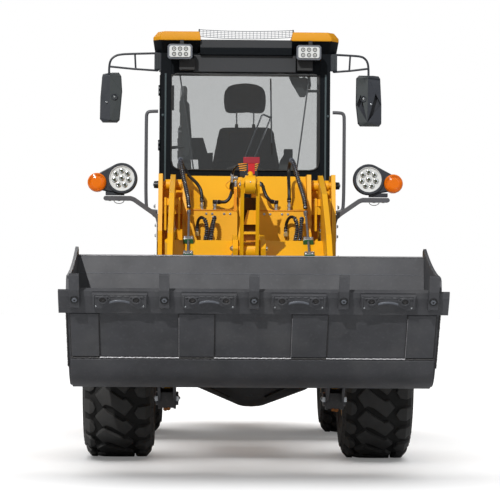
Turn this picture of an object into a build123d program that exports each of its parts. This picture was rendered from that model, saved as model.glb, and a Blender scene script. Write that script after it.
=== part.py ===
from build123d import *
import os
from math import atan2, cos, degrees, hypot, radians, sin, tan

# Compact articulated wheel loader. Millimetres, +Z up. It faces -Y, and the driver's left is +X.
# Origin: on the ground, at the centre of the machine with its bucket carried rolled back.
# Side-view points are (y, z).

os.makedirs("parts", exist_ok=True)

# ---- Driving dimensions
seat_gap = 0.3
pin_clearance = 0.1
wheelbase = 2300
front_axle_y = -800
rear_axle_y = front_axle_y + wheelbase
pivot_y = front_axle_y + wheelbase / 2

# Wheels
tyre_radius = 470
tyre_width = 394
tread_width = 308
track = 1446
axle_z = tyre_radius
bead_radius = 235
bead_half = 165
tyre_wall = 24
rim_wall = 12
flange_height = 17
flange_thickness = 12
disc_offset = 55
disc_thickness = 16
hub_radius = 105
hub_depth = 150
stub_radius = 45

# Axles
axle_tube_radius = 72
axle_bulge_radius = 194
axle_bulge_half = 300
axle_end_x = track / 2 - 123
axle_flat_z = axle_z + 110

# Loader linkage
boom_pivot = (front_axle_y + 550, axle_z + 1108)
bucket_pivot = (front_axle_y - 1040, axle_z - 85)
rocker_pivot = (front_axle_y - 330, axle_z + 705)
rocker_top = (front_axle_y - 513, axle_z + 1060.6)
rocker_foot = (front_axle_y - 144, axle_z + 278)
link_pin = (front_axle_y - 946, axle_z + 80)
lift_base = (front_axle_y + 605, axle_z + 230)
lift_eye = (front_axle_y + 269.5, axle_z + 859)
arm_x = 438
arm_thickness = 30
boom_pin_radius = 22
boom_hub_radius = 32
boom_hub_half = 50
bucket_pin_radius = 25
boom_end_radius = 48
boom_end_half = 30
rocker_plate_x = 42.5
rocker_plate = 19
rocker_pin_radius = 25
rocker_hub_radius = 46
link_half = 25
link_pin_radius = 20
link_eye_radius = 42

# Articulation and frames
clevis_radius = 110
lug_radius = 90
lug_thickness = 40
lug_spacing = 420
clevis_thickness = 25
clevis_gap = 5
lower_lug_z = axle_z + 30
upper_lug_z = lower_lug_z + lug_spacing
articulation_pin_radius = 30
frame_bottom_z = axle_z + 90
rail_depth = 240
rear_rail_x = 330
rear_rail_thickness = 20
rear_rail_top_z = frame_bottom_z + rail_depth
rear_plate_y = pivot_y + 150
front_plate_y = pivot_y - 300
plate_thickness = 20

# Loader tower, its plates either side of each boom arm
inner_tower_x = arm_x - 70
outer_tower_x = arm_x + 74
tower_plate = 25
tower_top_z = boom_pivot[1] + 62
tower_rear_y = boom_pivot[0] + 150
tower_front_y = boom_pivot[0] - 170
tower_web = 20
tower_floor_z = frame_bottom_z + 500

# Cylinders: outer radius, rod radius, barrel length from its pin, rod length from its eye
lift_cylinder = dict(outer=44, rod=25, barrel=611, length=590, eye=42, half=26, pin=25, neck=55)
tilt_cylinder = dict(outer=50, rod=28, barrel=640, length=560, eye=45, half=22, pin=22, neck=95)
steer_cylinder = dict(outer=32, rod=16, barrel=372, length=362, eye=28, half=15, pin=14)
cylinder_wall = 9
steer_z = axle_z + 230
steer_base = (205, pivot_y + 520)
steer_eye = (260, pivot_y - 60)

# Bucket, in its own frame: a runs forward along the floor from the heel, b stands off the floor
bucket_heel = (bucket_pivot[0] - 290, bucket_pivot[1] + 85)
bucket_roll = 52.5
bucket_floor = 610
bucket_curve_start = 105
bucket_curve_radius = 240
bucket_lip = (261, 741)
bucket_wall = 12
bucket_half = 933
bucket_side = 16
edge_half = bucket_half + 39
edge_depth = 135
edge_thickness = 18
tooth_pitch = 445
tooth_width = 50
segment_width = 276

# Cab
cab_half = 520
cab_length = 1240
cab_height = 1400
roof_height = 136
cab_front_y = pivot_y + 10
cab_rear_y = cab_front_y + cab_length
cab_floor_z = upper_lug_z + 110
cab_top_z = cab_floor_z + cab_height
cab_wall = 50
floor_thickness = 50
screen_bottom_z = cab_floor_z + 635
screen_top_z = cab_top_z - 125
side_window_z = cab_floor_z + 530
door_front_y = cab_front_y + 110
door_rear_y = door_front_y + 650
door_bottom_z = cab_floor_z + 60
door_top_z = cab_top_z - 70
door_gap = 6
door_thickness = 40
glass_thickness = 6
door_hinge = (cab_half + 15, door_rear_y + 6)
door_hinge_z = (door_bottom_z + 190, door_top_z - 190)
door_pin_radius = 8
roof_top_z = cab_top_z + roof_height

# Hood and tail
hood_half = 440
hood_length = 800
hood_front_y = cab_rear_y + 70
hood_rear_y = hood_front_y + hood_length
hood_bottom_z = cab_floor_z - 40
hood_top_z = cab_floor_z + 530
hood_wall = 6
hood_hinge = (hood_front_y - 12, hood_top_z + 22)
hood_hinge_x = 260
hood_pin_radius = 7
counterweight_half = hood_half + 40
counterweight_front_y = hood_rear_y - 170
rear_end_y = hood_rear_y + 116

# Hoses and pipes
hose_radius = 10
pipe_radius = 8


# ---- Helpers
def side_face(points, x=0, radius=0):
    """A closed outline of (y, z) points, in the plane at x."""
    with BuildSketch(Plane.YZ.offset(x)) as outline:
        with BuildLine():
            Polyline(*points, close=True)
        make_face()
        if radius:
            fillet(outline.vertices(), radius)
    return outline.sketch


def side_plate(points, x, thickness, radius=0, mode=Mode.ADD):
    extrude(side_face(points, x, radius), amount=thickness / 2, both=True, mode=mode)


def block(x, y, z, mode=Mode.ADD):
    """A box, each side given as (low, high)."""
    with Locations(((x[0] + x[1]) / 2, (y[0] + y[1]) / 2, (z[0] + z[1]) / 2)):
        Box(x[1] - x[0], y[1] - y[0], z[1] - z[0], mode=mode)


def x_span(side, inner, outer):
    """The X range from inner to outer on one side of the machine."""
    return tuple(sorted((side * inner, side * outer)))


def around(x, half):
    return (x - half, x + half)


def cross_pin(point, radius, x, mode=Mode.ADD):
    """A round bar along X through a side-view point."""
    with Locations(Plane(origin=((x[0] + x[1]) / 2, *point), z_dir=(1, 0, 0))):
        Cylinder(radius, x[1] - x[0], mode=mode)


def upright(x, y, radius, z, mode=Mode.ADD):
    with Locations((x, y, (z[0] + z[1]) / 2)):
        Cylinder(radius, z[1] - z[0], mode=mode)


def bar(start, end, radius, mode=Mode.ADD):
    """A round bar between two points in space."""
    start, end = Vector(*start), Vector(*end)
    with Locations(Plane(origin=start, z_dir=end - start)):
        Cylinder(
            radius,
            (end - start).length,
            align=(Align.CENTER, Align.CENTER, Align.MIN),
            mode=mode,
        )


def tube(points, radius, bend):
    """A round bar bent along points in space."""
    with BuildLine() as path:
        FilletPolyline(*points, radius=bend)
    with BuildSketch(Plane(origin=path.line @ 0, z_dir=path.line % 0)) as section:
        Circle(radius)
    sweep(section.sketch, path=path.line)


def hose(points, radius, name):
    """A round hose along points in space, its bends as large as the runs beside them allow."""
    places = [Vector(*point) for point in points]
    runs = [end - start for start, end in zip(places, places[1:])]
    bends = []
    for before, after in zip(runs, runs[1:]):
        turn = radians(before.get_angle(after))
        bends.append(0.45 * min(before.length, after.length) / tan(turn / 2))
    print(name, "bend radii", [round(bend) for bend in bends])
    with BuildLine() as path:
        FilletPolyline(*places, radius=bends)
    with BuildSketch(Plane(origin=path.line @ 0, z_dir=path.line % 0)) as section:
        Circle(radius)
    sweep(section.sketch, path=path.line)


def from_bucket(a, b):
    """A point of the bucket's own frame as a side-view point."""
    forward = a * cos(radians(bucket_roll)) - b * sin(radians(bucket_roll))
    rise = a * sin(radians(bucket_roll)) + b * cos(radians(bucket_roll))
    return (bucket_heel[0] - forward, bucket_heel[1] + rise)


def to_bucket(point):
    forward = bucket_heel[0] - point[0]
    rise = point[1] - bucket_heel[1]
    a = forward * cos(radians(bucket_roll)) + rise * sin(radians(bucket_roll))
    b = rise * cos(radians(bucket_roll)) - forward * sin(radians(bucket_roll))
    return (a, b)


def between(start, end, distance):
    """The side-view point at a distance from start towards end."""
    length = hypot(end[0] - start[0], end[1] - start[1])
    share = distance / length
    return (start[0] + share * (end[0] - start[0]), start[1] + share * (end[1] - start[1]))


def save(part, name):
    part.part.label = name
    export_step(part.part, f"parts/{name}.step")


# ---- Wheels: a hollow tyre between the flanges of a welded rim
wheel_places = [("front", front_axle_y), ("rear", rear_axle_y)]
wheel_sides = [("left", 1), ("right", -1)]
half_width = tyre_width / 2
half_tread = tread_width / 2

for row, axle_y in wheel_places:
    for hand, side in wheel_sides:
        centre = (side * track / 2, axle_y, axle_z)
        wheel_plane = Plane(origin=centre, x_dir=(side, 0, 0), z_dir=(0, -side, 0))
        wheel_axis = Axis(centre, (1, 0, 0))
        outer = [
            (bead_half, bead_radius),
            (bead_half, bead_radius + flange_height + 4),
            (half_width - 6, bead_radius + 65),
            (half_width, bead_radius + 115),
            (half_width - 6, tyre_radius - 52),
            (half_tread, tyre_radius),
        ]
        inner = [
            (bead_half - tyre_wall, bead_radius),
            (half_width - 6 - tyre_wall, bead_radius + 65),
            (half_width - tyre_wall, bead_radius + 115),
            (half_width - 6 - tyre_wall, tyre_radius - 62),
            (half_tread - tyre_wall, tyre_radius - tyre_wall - 8),
        ]
        outer_loop = outer + [(-x, r) for x, r in reversed(outer)]
        inner_loop = [(-x, r) for x, r in inner] + list(reversed(inner))
        with BuildPart() as tyre:
            with BuildSketch(wheel_plane) as section:
                with BuildLine():
                    Polyline(*outer_loop, *inner_loop, close=True)
                make_face()
            revolve(axis=wheel_axis)
        save(tyre, f"tyre_{row}_{hand}")

        barrel_outer = bead_radius - seat_gap
        flange_x = bead_half + seat_gap
        with BuildPart() as rim:
            with BuildSketch(wheel_plane) as section:
                with Locations((0, barrel_outer - rim_wall / 2)):
                    Rectangle(2 * flange_x + 2 * flange_thickness, rim_wall)
                for end in (-1, 1):
                    with Locations((end * (flange_x + flange_thickness / 2), barrel_outer + (flange_height - rim_wall) / 2)):
                        Rectangle(flange_thickness, flange_height + rim_wall)
                with Locations((disc_offset, barrel_outer / 2)):
                    Rectangle(disc_thickness, barrel_outer - rim_wall)
                with Locations((disc_offset - hub_depth / 2, hub_radius / 2)):
                    Rectangle(hub_depth, hub_radius)
            revolve(axis=wheel_axis)
            stub_face = disc_offset - hub_depth / 2 - disc_thickness
            bar(
                (side * (track / 2 + disc_offset - 2 * hub_depth), axle_y, axle_z),
                (side * (track / 2 + stub_face + hub_depth / 2), axle_y, axle_z),
                stub_radius + pin_clearance,
                mode=Mode.SUBTRACT,
            )
        save(rim, f"rim_{row}_{hand}")

# ---- Axles: a round tube with a bulged differential, and a stub shaft into each hub
stub_end_x = track / 2 + disc_offset - hub_depth / 2 - disc_thickness + hub_depth / 2 - 2
for row, axle_y, nose in [("front", front_axle_y, 1), ("rear", rear_axle_y, -1)]:
    with BuildPart() as axle:
        with BuildSketch(Plane(origin=(0, axle_y, axle_z), x_dir=(1, 0, 0), z_dir=(0, -1, 0))):
            with BuildLine():
                Polyline((-axle_end_x, 0), (-axle_end_x, axle_tube_radius), (-axle_bulge_half, axle_tube_radius))
                ThreePointArc(
                    (-axle_bulge_half, axle_tube_radius),
                    (0, axle_bulge_radius),
                    (axle_bulge_half, axle_tube_radius),
                )
                Polyline((axle_bulge_half, axle_tube_radius), (axle_end_x, axle_tube_radius), (axle_end_x, 0))
                Line((axle_end_x, 0), (-axle_end_x, 0))
            make_face()
        revolve(axis=Axis((0, axle_y, axle_z), (1, 0, 0)))
        cross_pin((axle_y, axle_z), stub_radius, (-stub_end_x, stub_end_x))
        pad_x = inner_tower_x if row == "front" else rear_rail_x
        for side in (-1, 1):
            block(around(side * pad_x, 35), around(axle_y, 65), (axle_z, frame_bottom_z))
        nose_end = axle_y + nose * 330
        bar((0, axle_y, axle_z), (0, nose_end, axle_z), 80)
        bar(
            (0, nose_end, axle_z),
            (0, pivot_y - nose * 60, (upper_lug_z + lower_lug_z) / 2 - 60),
            32,
        )
        block((-250, 250), around(axle_y, axle_bulge_radius), (axle_flat_z, axle_z + axle_bulge_radius + 10), mode=Mode.SUBTRACT)
    save(axle, f"{row}_axle")

# ---- Front frame: tower plates, axle saddle, articulation lugs
nose_y = front_axle_y - 220
inner_plate = [
    (front_plate_y + plate_thickness, lower_lug_z - 60),
    (front_plate_y + plate_thickness, tower_floor_z + 20),
    (tower_rear_y, tower_floor_z + 140),
    (tower_rear_y, tower_top_z),
    (boom_pivot[0] - 80, tower_top_z),
    (tower_front_y, lift_eye[1] - 29),
    (tower_front_y - 20, tower_floor_z - 60),
    (front_axle_y + 180, frame_bottom_z + 300),
    (nose_y, frame_bottom_z + 80),
    (nose_y, frame_bottom_z - 70),
    (nose_y + 120, frame_bottom_z - 70),
    (nose_y + 120, frame_bottom_z),
    (front_plate_y - 200, frame_bottom_z),
    (front_plate_y - 110, lower_lug_z - 60),
]
outer_plate = [
    (tower_rear_y, lift_base[1] - 60),
    (tower_rear_y, tower_top_z),
    (boom_pivot[0] - 80, tower_top_z),
    (tower_front_y, lift_eye[1] - 29),
    (tower_front_y, tower_floor_z - 60),
    (lift_base[0] - 105, lift_base[1] - 60),
]
inner_face_x = inner_tower_x - tower_plate / 2
outer_face_x = inner_tower_x + tower_plate / 2
bay_end_x = outer_tower_x - tower_plate / 2
tilt_ear_x = tilt_cylinder["half"] + 5
tilt_ear = 25

with BuildPart() as front_frame:
    for side in (-1, 1):
        side_plate(inner_plate, side * inner_tower_x, tower_plate)
        side_plate(outer_plate, side * outer_tower_x, tower_plate)
        bay = x_span(side, outer_face_x, bay_end_x)
        block(bay, (tower_rear_y - tower_web, tower_rear_y), (lift_base[1] - 60, tower_top_z - 60))
        block(bay, (tower_rear_y - 140, tower_rear_y), (boom_pivot[1] - 173, boom_pivot[1] - 103))
        cross_pin(boom_pivot, boom_pin_radius, x_span(side, outer_face_x, bay_end_x + tower_plate + 20))
        cross_pin(lift_base, lift_cylinder["pin"], bay)
    width = (-inner_face_x, inner_face_x)
    block(width, (front_plate_y, front_plate_y + plate_thickness), (lower_lug_z - 60, tower_floor_z))
    block(width, (tower_front_y - 20, front_plate_y + plate_thickness), (tower_floor_z, tower_floor_z + 20))
    block(width, (nose_y, nose_y + 20), (frame_bottom_z - 70, frame_bottom_z))
    block((-60, 60), (front_plate_y - 10, front_plate_y + 30), (lower_lug_z + 40, lower_lug_z + 200), mode=Mode.SUBTRACT)
    for lug_z in (lower_lug_z, upper_lug_z):
        block((-lug_radius, lug_radius), (front_plate_y, pivot_y), around(lug_z, lug_thickness / 2))
        upright(0, pivot_y, lug_radius, around(lug_z, lug_thickness / 2))
        upright(
            0,
            pivot_y,
            articulation_pin_radius + pin_clearance,
            around(lug_z, lug_thickness),
            mode=Mode.SUBTRACT,
        )
    for side in (-1, 1):
        for level in (-1, 1):
            lug_z = steer_z + level * (steer_cylinder["half"] + 13)
            block(
                around(side * steer_eye[0], 34),
                (front_plate_y, steer_eye[1]),
                around(lug_z, 8),
            )
            upright(side * steer_eye[0], steer_eye[1], 34, around(lug_z, 8))
    bracket_half = tilt_ear_x + tilt_ear
    bracket_rear_y = tower_rear_y - 10
    bracket = [
        (tower_front_y - 20, tower_floor_z),
        (tower_front_y - 20, boom_pivot[1] - 310),
        (boom_pivot[0] - 80, boom_pivot[1] - 100),
        (bracket_rear_y, boom_pivot[1] - 100),
        (bracket_rear_y, tower_floor_z),
    ]
    side_plate(bracket, 0, 2 * bracket_half)
    for side in (-1, 1):
        side_plate(
            [
                (boom_pivot[0] - 80, boom_pivot[1] - 100),
                (boom_pivot[0] - 55, boom_pivot[1] + 45),
                (boom_pivot[0] + 55, boom_pivot[1] + 45),
                (boom_pivot[0] + 120, boom_pivot[1] - 100),
            ],
            side * (tilt_ear_x + tilt_ear / 2),
            tilt_ear,
        )
    cross_pin(boom_pivot, tilt_cylinder["pin"], (-tilt_ear_x, tilt_ear_x))
save(front_frame, "front_frame")

# ---- Valve cover between the tower's inner plates, open below, slotted for the tilt bracket
cover_front_y = tower_front_y - 30
cover_ridge_z = boom_pivot[1] - 158
cover_top_z = boom_pivot[1] + 60
cover_wall = 6
cover_shelf = 32
cover_bottom_z = tower_floor_z + 20 + seat_gap
cover_outline = [
    (cover_front_y, cover_bottom_z),
    (cover_front_y, cover_ridge_z),
    (cover_front_y + cover_shelf, cover_ridge_z),
    (tower_rear_y - 30, cover_top_z),
    (tower_rear_y, cover_top_z),
    (tower_rear_y, cover_bottom_z),
]
cover_half = inner_face_x - seat_gap
slot_half = tilt_ear_x + tilt_ear + 5
with BuildPart() as valve_cover:
    side_plate(cover_outline, 0, 2 * cover_half)
    side_plate(
        [
            (cover_front_y + cover_wall, cover_bottom_z - 10),
            (cover_front_y + cover_wall, cover_ridge_z - cover_wall),
            (cover_front_y + cover_shelf + 3, cover_ridge_z - cover_wall),
            (tower_rear_y - 28, cover_top_z - cover_wall),
            (tower_rear_y - cover_wall, cover_top_z - cover_wall),
            (tower_rear_y - cover_wall, cover_bottom_z - 10),
        ],
        0,
        2 * (cover_half - cover_wall),
        mode=Mode.SUBTRACT,
    )
    block(
        (-slot_half, slot_half),
        (cover_front_y - 10, tower_rear_y + 10),
        (cover_bottom_z - 10, cover_top_z + 10),
        mode=Mode.SUBTRACT,
    )
save(valve_cover, "valve_cover")

# ---- Rear frame: rails, cross plates, clevises with their pins, cab posts
rail_front_top_z = upper_lug_z + 40
rail = [
    (rear_plate_y, lower_lug_z - 60),
    (rear_plate_y, rail_front_top_z),
    (rear_plate_y + 200, rail_front_top_z),
    (rear_plate_y + 320, rear_rail_top_z),
    (counterweight_front_y - seat_gap, rear_rail_top_z),
    (counterweight_front_y - seat_gap, frame_bottom_z),
    (rear_plate_y + 260, frame_bottom_z),
    (rear_plate_y + 140, lower_lug_z - 60),
]
rail_inner_x = rear_rail_x - rear_rail_thickness / 2
rail_outer_x = rear_rail_x + rear_rail_thickness / 2
with BuildPart() as rear_frame:
    for side in (-1, 1):
        side_plate(rail, side * rear_rail_x, rear_rail_thickness)
        for post_y in (rear_plate_y + 380, cab_rear_y - 60):
            block(x_span(side, rail_inner_x, rail_outer_x), (post_y, post_y + 60), (rear_rail_top_z, cab_floor_z - floor_thickness))
    width = (-rail_inner_x, rail_inner_x)
    block(width, (rear_plate_y, rear_plate_y + plate_thickness), (lower_lug_z - 60, rail_front_top_z))
    for side in (-1, 1):
        block(x_span(side, 130, 300), (rear_plate_y - 10, rear_plate_y + 30), around(steer_z, 70), mode=Mode.SUBTRACT)
    block((-60, 60), (rear_plate_y - 10, rear_plate_y + 30), (lower_lug_z + 60, lower_lug_z + 240), mode=Mode.SUBTRACT)
    block(width, (cab_rear_y + 50, cab_rear_y + 70), (frame_bottom_z + 60, rear_rail_top_z))
    block(width, (counterweight_front_y - 20, counterweight_front_y - seat_gap), (frame_bottom_z, rear_rail_top_z))
    for lug_z in (lower_lug_z, upper_lug_z):
        for level in (-1, 1):
            ear_z = lug_z + level * (lug_thickness / 2 + clevis_gap + clevis_thickness / 2)
            block((-clevis_radius, clevis_radius), (pivot_y, rear_plate_y), around(ear_z, clevis_thickness / 2))
            upright(0, pivot_y, clevis_radius, around(ear_z, clevis_thickness / 2))
        upright(0, pivot_y, articulation_pin_radius, around(lug_z, lug_thickness / 2 + clevis_gap + clevis_thickness))
    for side in (-1, 1):
        for level in (-1, 1):
            lug_z = steer_z + level * (steer_cylinder["half"] + 13)
            block(
                x_span(side, steer_base[0] - 30, rail_inner_x),
                around(steer_base[1], 34),
                around(lug_z, 8),
            )
        upright(side * steer_base[0], steer_base[1], steer_cylinder["pin"], around(steer_z, steer_cylinder["half"] + 8))
save(rear_frame, "rear_frame")

# ---- Counterweight with a towing slot and pin bore
tow_z = frame_bottom_z + 160
tow_pin_radius = 20
with BuildPart() as counterweight:
    block((-counterweight_half, counterweight_half), (counterweight_front_y, rear_end_y), (frame_bottom_z - 60, hood_bottom_z - 10))
    fillet(counterweight.edges().filter_by(Axis.Z).group_by(Axis.Y)[-1], 60)
    block((-70, 70), (rear_end_y - 110, rear_end_y + 10), (tow_z - 30, tow_z + 30), mode=Mode.SUBTRACT)
    upright(0, rear_end_y - 55, tow_pin_radius, (tow_z - 100, hood_bottom_z), mode=Mode.SUBTRACT)
save(counterweight, "counterweight")

# ---- Engine, hood and exhaust
with BuildPart() as engine_block:
    block((-rail_inner_x + seat_gap, rail_inner_x - seat_gap), (hood_front_y + 90, hood_front_y + 570), (frame_bottom_z + 120, hood_top_z - 180))
save(engine_block, "engine_block")

grille_z = (hood_bottom_z + 70, hood_top_z - 120)
with BuildPart() as engine_hood:
    block((-hood_half, hood_half), (hood_front_y, hood_rear_y), (hood_bottom_z, hood_top_z))
    fillet(engine_hood.edges().filter_by(Axis.Y).group_by(Axis.Z)[-1], 60)
    fillet(engine_hood.edges().group_by(Axis.Y)[-1].group_by(Axis.Z)[-1], 40)
    block(
        (-hood_half + hood_wall, hood_half - hood_wall),
        (hood_front_y - 10, hood_rear_y - hood_wall),
        (hood_bottom_z - 10, hood_top_z - 60),
        mode=Mode.SUBTRACT,
    )
    block(
        (-hood_half + 60, hood_half - 60),
        (hood_front_y - 10, hood_rear_y - hood_wall),
        (hood_bottom_z - 10, hood_top_z - hood_wall),
        mode=Mode.SUBTRACT,
    )
    block((-300, 300), (hood_rear_y - 20, hood_rear_y + 10), grille_z, mode=Mode.SUBTRACT)
    for level in range(7):
        slat_z = grille_z[0] + 30 + (grille_z[1] - grille_z[0] - 62) * level / 6
        block((-305, 305), (hood_rear_y - 20, hood_rear_y - 5), around(slat_z, 12))
    for side in (-1, 1):
        knuckle_x = around(side * hood_hinge_x, 25)
        cross_pin(hood_hinge, 14, knuckle_x)
        block(knuckle_x, (hood_hinge[0], hood_front_y + 70), (hood_top_z + 6, hood_hinge[1]))
        block(knuckle_x, (hood_front_y + 6, hood_front_y + 70), (hood_top_z - 2, hood_top_z + 6))
        cross_pin(hood_hinge, hood_pin_radius + pin_clearance, around(side * hood_hinge_x, 40), mode=Mode.SUBTRACT)
save(engine_hood, "engine_hood")

with BuildPart() as engine_cowl:
    block((-hood_half, hood_half), (cab_rear_y + 5, hood_front_y - 5), (rear_rail_top_z + seat_gap, hood_top_z))
    block(
        (-hood_half + 60, hood_half - 60),
        (cab_rear_y, hood_front_y),
        (rear_rail_top_z + 100, hood_top_z - 60),
        mode=Mode.SUBTRACT,
    )
    for side in (-1, 1):
        for end in (-1, 1):
            ear_x = around(side * hood_hinge_x + end * 36, 5)
            block(ear_x, (cab_rear_y + 30, hood_hinge[0]), (hood_top_z, hood_hinge[1] + 10))
            cross_pin(hood_hinge, 12, ear_x)
        cross_pin(hood_hinge, hood_pin_radius, around(side * hood_hinge_x, 36))
save(engine_cowl, "engine_cowl")

exhaust_x = -hood_half + 40
exhaust_y = cab_rear_y + 42
with BuildPart() as exhaust_stack:
    upright(exhaust_x, exhaust_y, 24, (hood_top_z + seat_gap, hood_top_z + 145))
    upright(exhaust_x, exhaust_y + 8, 36, (hood_top_z + 140, hood_top_z + 490))
    tube(
        [
            (exhaust_x, exhaust_y + 8, hood_top_z + 490),
            (exhaust_x, exhaust_y + 8, hood_top_z + 690),
            (exhaust_x, exhaust_y + 150, hood_top_z + 770),
        ],
        24,
        60,
    )
save(exhaust_stack, "exhaust_stack")

# ---- Tanks, steps and rear fenders
tank_x = (rail_outer_x + seat_gap, 600)
tank_tyre_gap = 70
tank_y = (rear_plate_y + 40, rear_axle_y - tyre_radius - tank_tyre_gap)
step_x = tank_x[1] + 200
with BuildPart() as side_tanks:
    for side in (-1, 1):
        block(x_span(side, *tank_x), tank_y, (frame_bottom_z - 100, cab_floor_z - floor_thickness - 80))
    fillet(side_tanks.edges().filter_by(Axis.Y), 30)
save(side_tanks, "side_tanks")

with BuildPart() as cab_steps:
    for side in (-1, 1):
        for bracket_y in (tank_y[0] + 20, tank_y[1] - 28):
            block(x_span(side, tank_x[1] + seat_gap, step_x - 20), (bracket_y, bracket_y + 8), (axle_z - 170, axle_z + 230))
        for tread_z in (axle_z - 160, axle_z + 170):
            block(x_span(side, tank_x[1] + seat_gap, step_x), (tank_y[0] + 20, tank_y[1] - 20), (tread_z, tread_z + 25))
save(cab_steps, "cab_steps")

fender_inner_radius = tyre_radius + 70
fender_thickness = 8
fender_outer_x = track / 2 + tyre_width / 2 + 5
stay_z = axle_z + ((fender_inner_radius + fender_thickness / 2) ** 2 - 365**2) ** 0.5 - 4


def fender(axle_y, start, end, x):
    """A band of fender round a wheel, from one angle to another about the axle."""
    radius = fender_inner_radius + fender_thickness / 2
    with BuildSketch(Plane.YZ.offset(x[0])) as band:
        with BuildLine():
            CenterArc((axle_y, axle_z), radius, start, end - start)
        trace(line_width=fender_thickness)
    extrude(band.sketch, amount=x[1] - x[0])


with BuildPart() as rear_fenders:
    for side in (-1, 1):
        fender(rear_axle_y, 25, 155, x_span(side, cab_half + seat_gap, fender_outer_x))
save(rear_fenders, "rear_fenders")

with BuildPart() as front_fenders:
    for side in (-1, 1):
        fender(front_axle_y, 35, 140, x_span(side, fender_outer_x - 385, fender_outer_x))
        block(x_span(side, outer_face_x + seat_gap, fender_outer_x - 365), around(front_axle_y + 365, 15), around(stay_z, 7))
save(front_fenders, "front_fenders")

# ---- Cab
with BuildPart() as cab_floor:
    block((-cab_half, cab_half), (cab_front_y, cab_rear_y), (cab_floor_z - floor_thickness, cab_floor_z))
save(cab_floor, "cab_floor")

cab_inner = cab_half - cab_wall
glass_half = cab_inner
with BuildPart() as cab_frame:
    block((-cab_half, cab_half), (cab_front_y, cab_rear_y), (cab_floor_z + seat_gap, cab_top_z))
    block(
        (-cab_inner, cab_inner),
        (cab_front_y + cab_wall, cab_rear_y - cab_wall),
        (cab_floor_z - 10, cab_top_z + 10),
        mode=Mode.SUBTRACT,
    )
    block(
        (-glass_half, glass_half),
        (cab_front_y - 10, cab_front_y + cab_wall + 10),
        (screen_bottom_z, screen_top_z),
        mode=Mode.SUBTRACT,
    )
    block(
        (-glass_half, glass_half),
        (cab_rear_y - cab_wall - 10, cab_rear_y + 10),
        (screen_bottom_z, screen_top_z),
        mode=Mode.SUBTRACT,
    )
    for side in (-1, 1):
        wall = x_span(side, cab_inner - 10, cab_half + 10)
        block(wall, (door_front_y, door_rear_y), (door_bottom_z, door_top_z), mode=Mode.SUBTRACT)
        block(wall, (door_rear_y + 70, cab_rear_y - 70), (side_window_z, door_top_z), mode=Mode.SUBTRACT)
        for hinge_z in door_hinge_z:
            for level in (-1, 1):
                knuckle_z = around(hinge_z + level * 42, 14)
                block(x_span(side, cab_half - 5, door_hinge[0]), (door_hinge[1] - 4, door_hinge[1] + 34), knuckle_z)
                upright(side * door_hinge[0], door_hinge[1], 14, knuckle_z)
            upright(side * door_hinge[0], door_hinge[1], door_pin_radius, around(hinge_z, 50))
    # The lower walls are thinner between their corners.
    recess = (cab_floor_z - 10, screen_bottom_z - 60)
    block((-cab_inner + 40, cab_inner - 40), (cab_front_y + 15, cab_front_y + cab_wall + 10), recess, mode=Mode.SUBTRACT)
    block((-cab_inner + 40, cab_inner - 40), (cab_rear_y - cab_wall - 10, cab_rear_y - 15), recess, mode=Mode.SUBTRACT)
save(cab_frame, "cab_frame")

with BuildPart() as cab_glass:
    for pane_y in (cab_front_y + 15, cab_rear_y - 15):
        block(
            (-glass_half + seat_gap, glass_half - seat_gap),
            around(pane_y, glass_thickness / 2),
            (screen_bottom_z + seat_gap, screen_top_z - seat_gap),
        )
    for side in (-1, 1):
        block(
            x_span(side, cab_half - 12, cab_half - 12 + glass_thickness),
            (door_rear_y + 70 + seat_gap, cab_rear_y - 70 - seat_gap),
            (side_window_z + seat_gap, door_top_z - seat_gap),
        )
save(cab_glass, "cab_glass")

window_margin = 55
door_window_z = (door_bottom_z + 390, door_top_z - door_gap - window_margin)
door_window_y = (door_front_y + door_gap + window_margin, door_rear_y - door_gap - window_margin)
for hand, side in wheel_sides:
    door_x = x_span(side, cab_half - door_thickness, cab_half)
    with BuildPart() as cab_door:
        block(door_x, (door_front_y + door_gap, door_rear_y - door_gap), (door_bottom_z + door_gap, door_top_z - door_gap))
        block(x_span(side, cab_half - 60, cab_half + 10), door_window_y, door_window_z, mode=Mode.SUBTRACT)
        for hinge_z in door_hinge_z:
            knuckle_z = around(hinge_z, 26)
            block(x_span(side, cab_half - 2, door_hinge[0] + 8), (door_hinge[1] - 62, door_hinge[1] - 14), knuckle_z)
            block(x_span(side, door_hinge[0] - 6, door_hinge[0] + 8), (door_hinge[1] - 20, door_hinge[1]), knuckle_z)
            upright(side * door_hinge[0], door_hinge[1], 14, knuckle_z)
            upright(side * door_hinge[0], door_hinge[1], door_pin_radius + pin_clearance, around(hinge_z, 40), mode=Mode.SUBTRACT)
    save(cab_door, f"cab_door_{hand}")
    with BuildPart() as door_glass:
        block(
            x_span(side, cab_half - 20, cab_half - 20 + glass_thickness),
            (door_window_y[0] + seat_gap, door_window_y[1] - seat_gap),
            (door_window_z[0] + seat_gap, door_window_z[1] - seat_gap),
        )
    save(door_glass, f"door_glass_{hand}")

roof_section = [
    (-cab_half, cab_top_z + seat_gap),
    (-cab_half - 55, cab_top_z + 35),
    (-cab_half - 58, roof_top_z - 54),
    (-cab_half - 10, roof_top_z),
    (cab_half + 10, roof_top_z),
    (cab_half + 58, roof_top_z - 54),
    (cab_half + 55, cab_top_z + 35),
    (cab_half, cab_top_z + seat_gap),
]
roof_y = (cab_front_y - 70, cab_rear_y + 90)
with BuildPart() as cab_roof:
    with BuildSketch(Plane(origin=(0, roof_y[0], 0), x_dir=(1, 0, 0), z_dir=(0, -1, 0))) as section:
        with BuildLine():
            Polyline(*roof_section, close=True)
        make_face()
    extrude(amount=-(roof_y[1] - roof_y[0]))
    block(
        (-cab_inner, cab_inner),
        (cab_front_y + cab_wall, cab_rear_y - cab_wall),
        (cab_top_z - 10, roof_top_z - 40),
        mode=Mode.SUBTRACT,
    )
save(cab_roof, "cab_roof")

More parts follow.
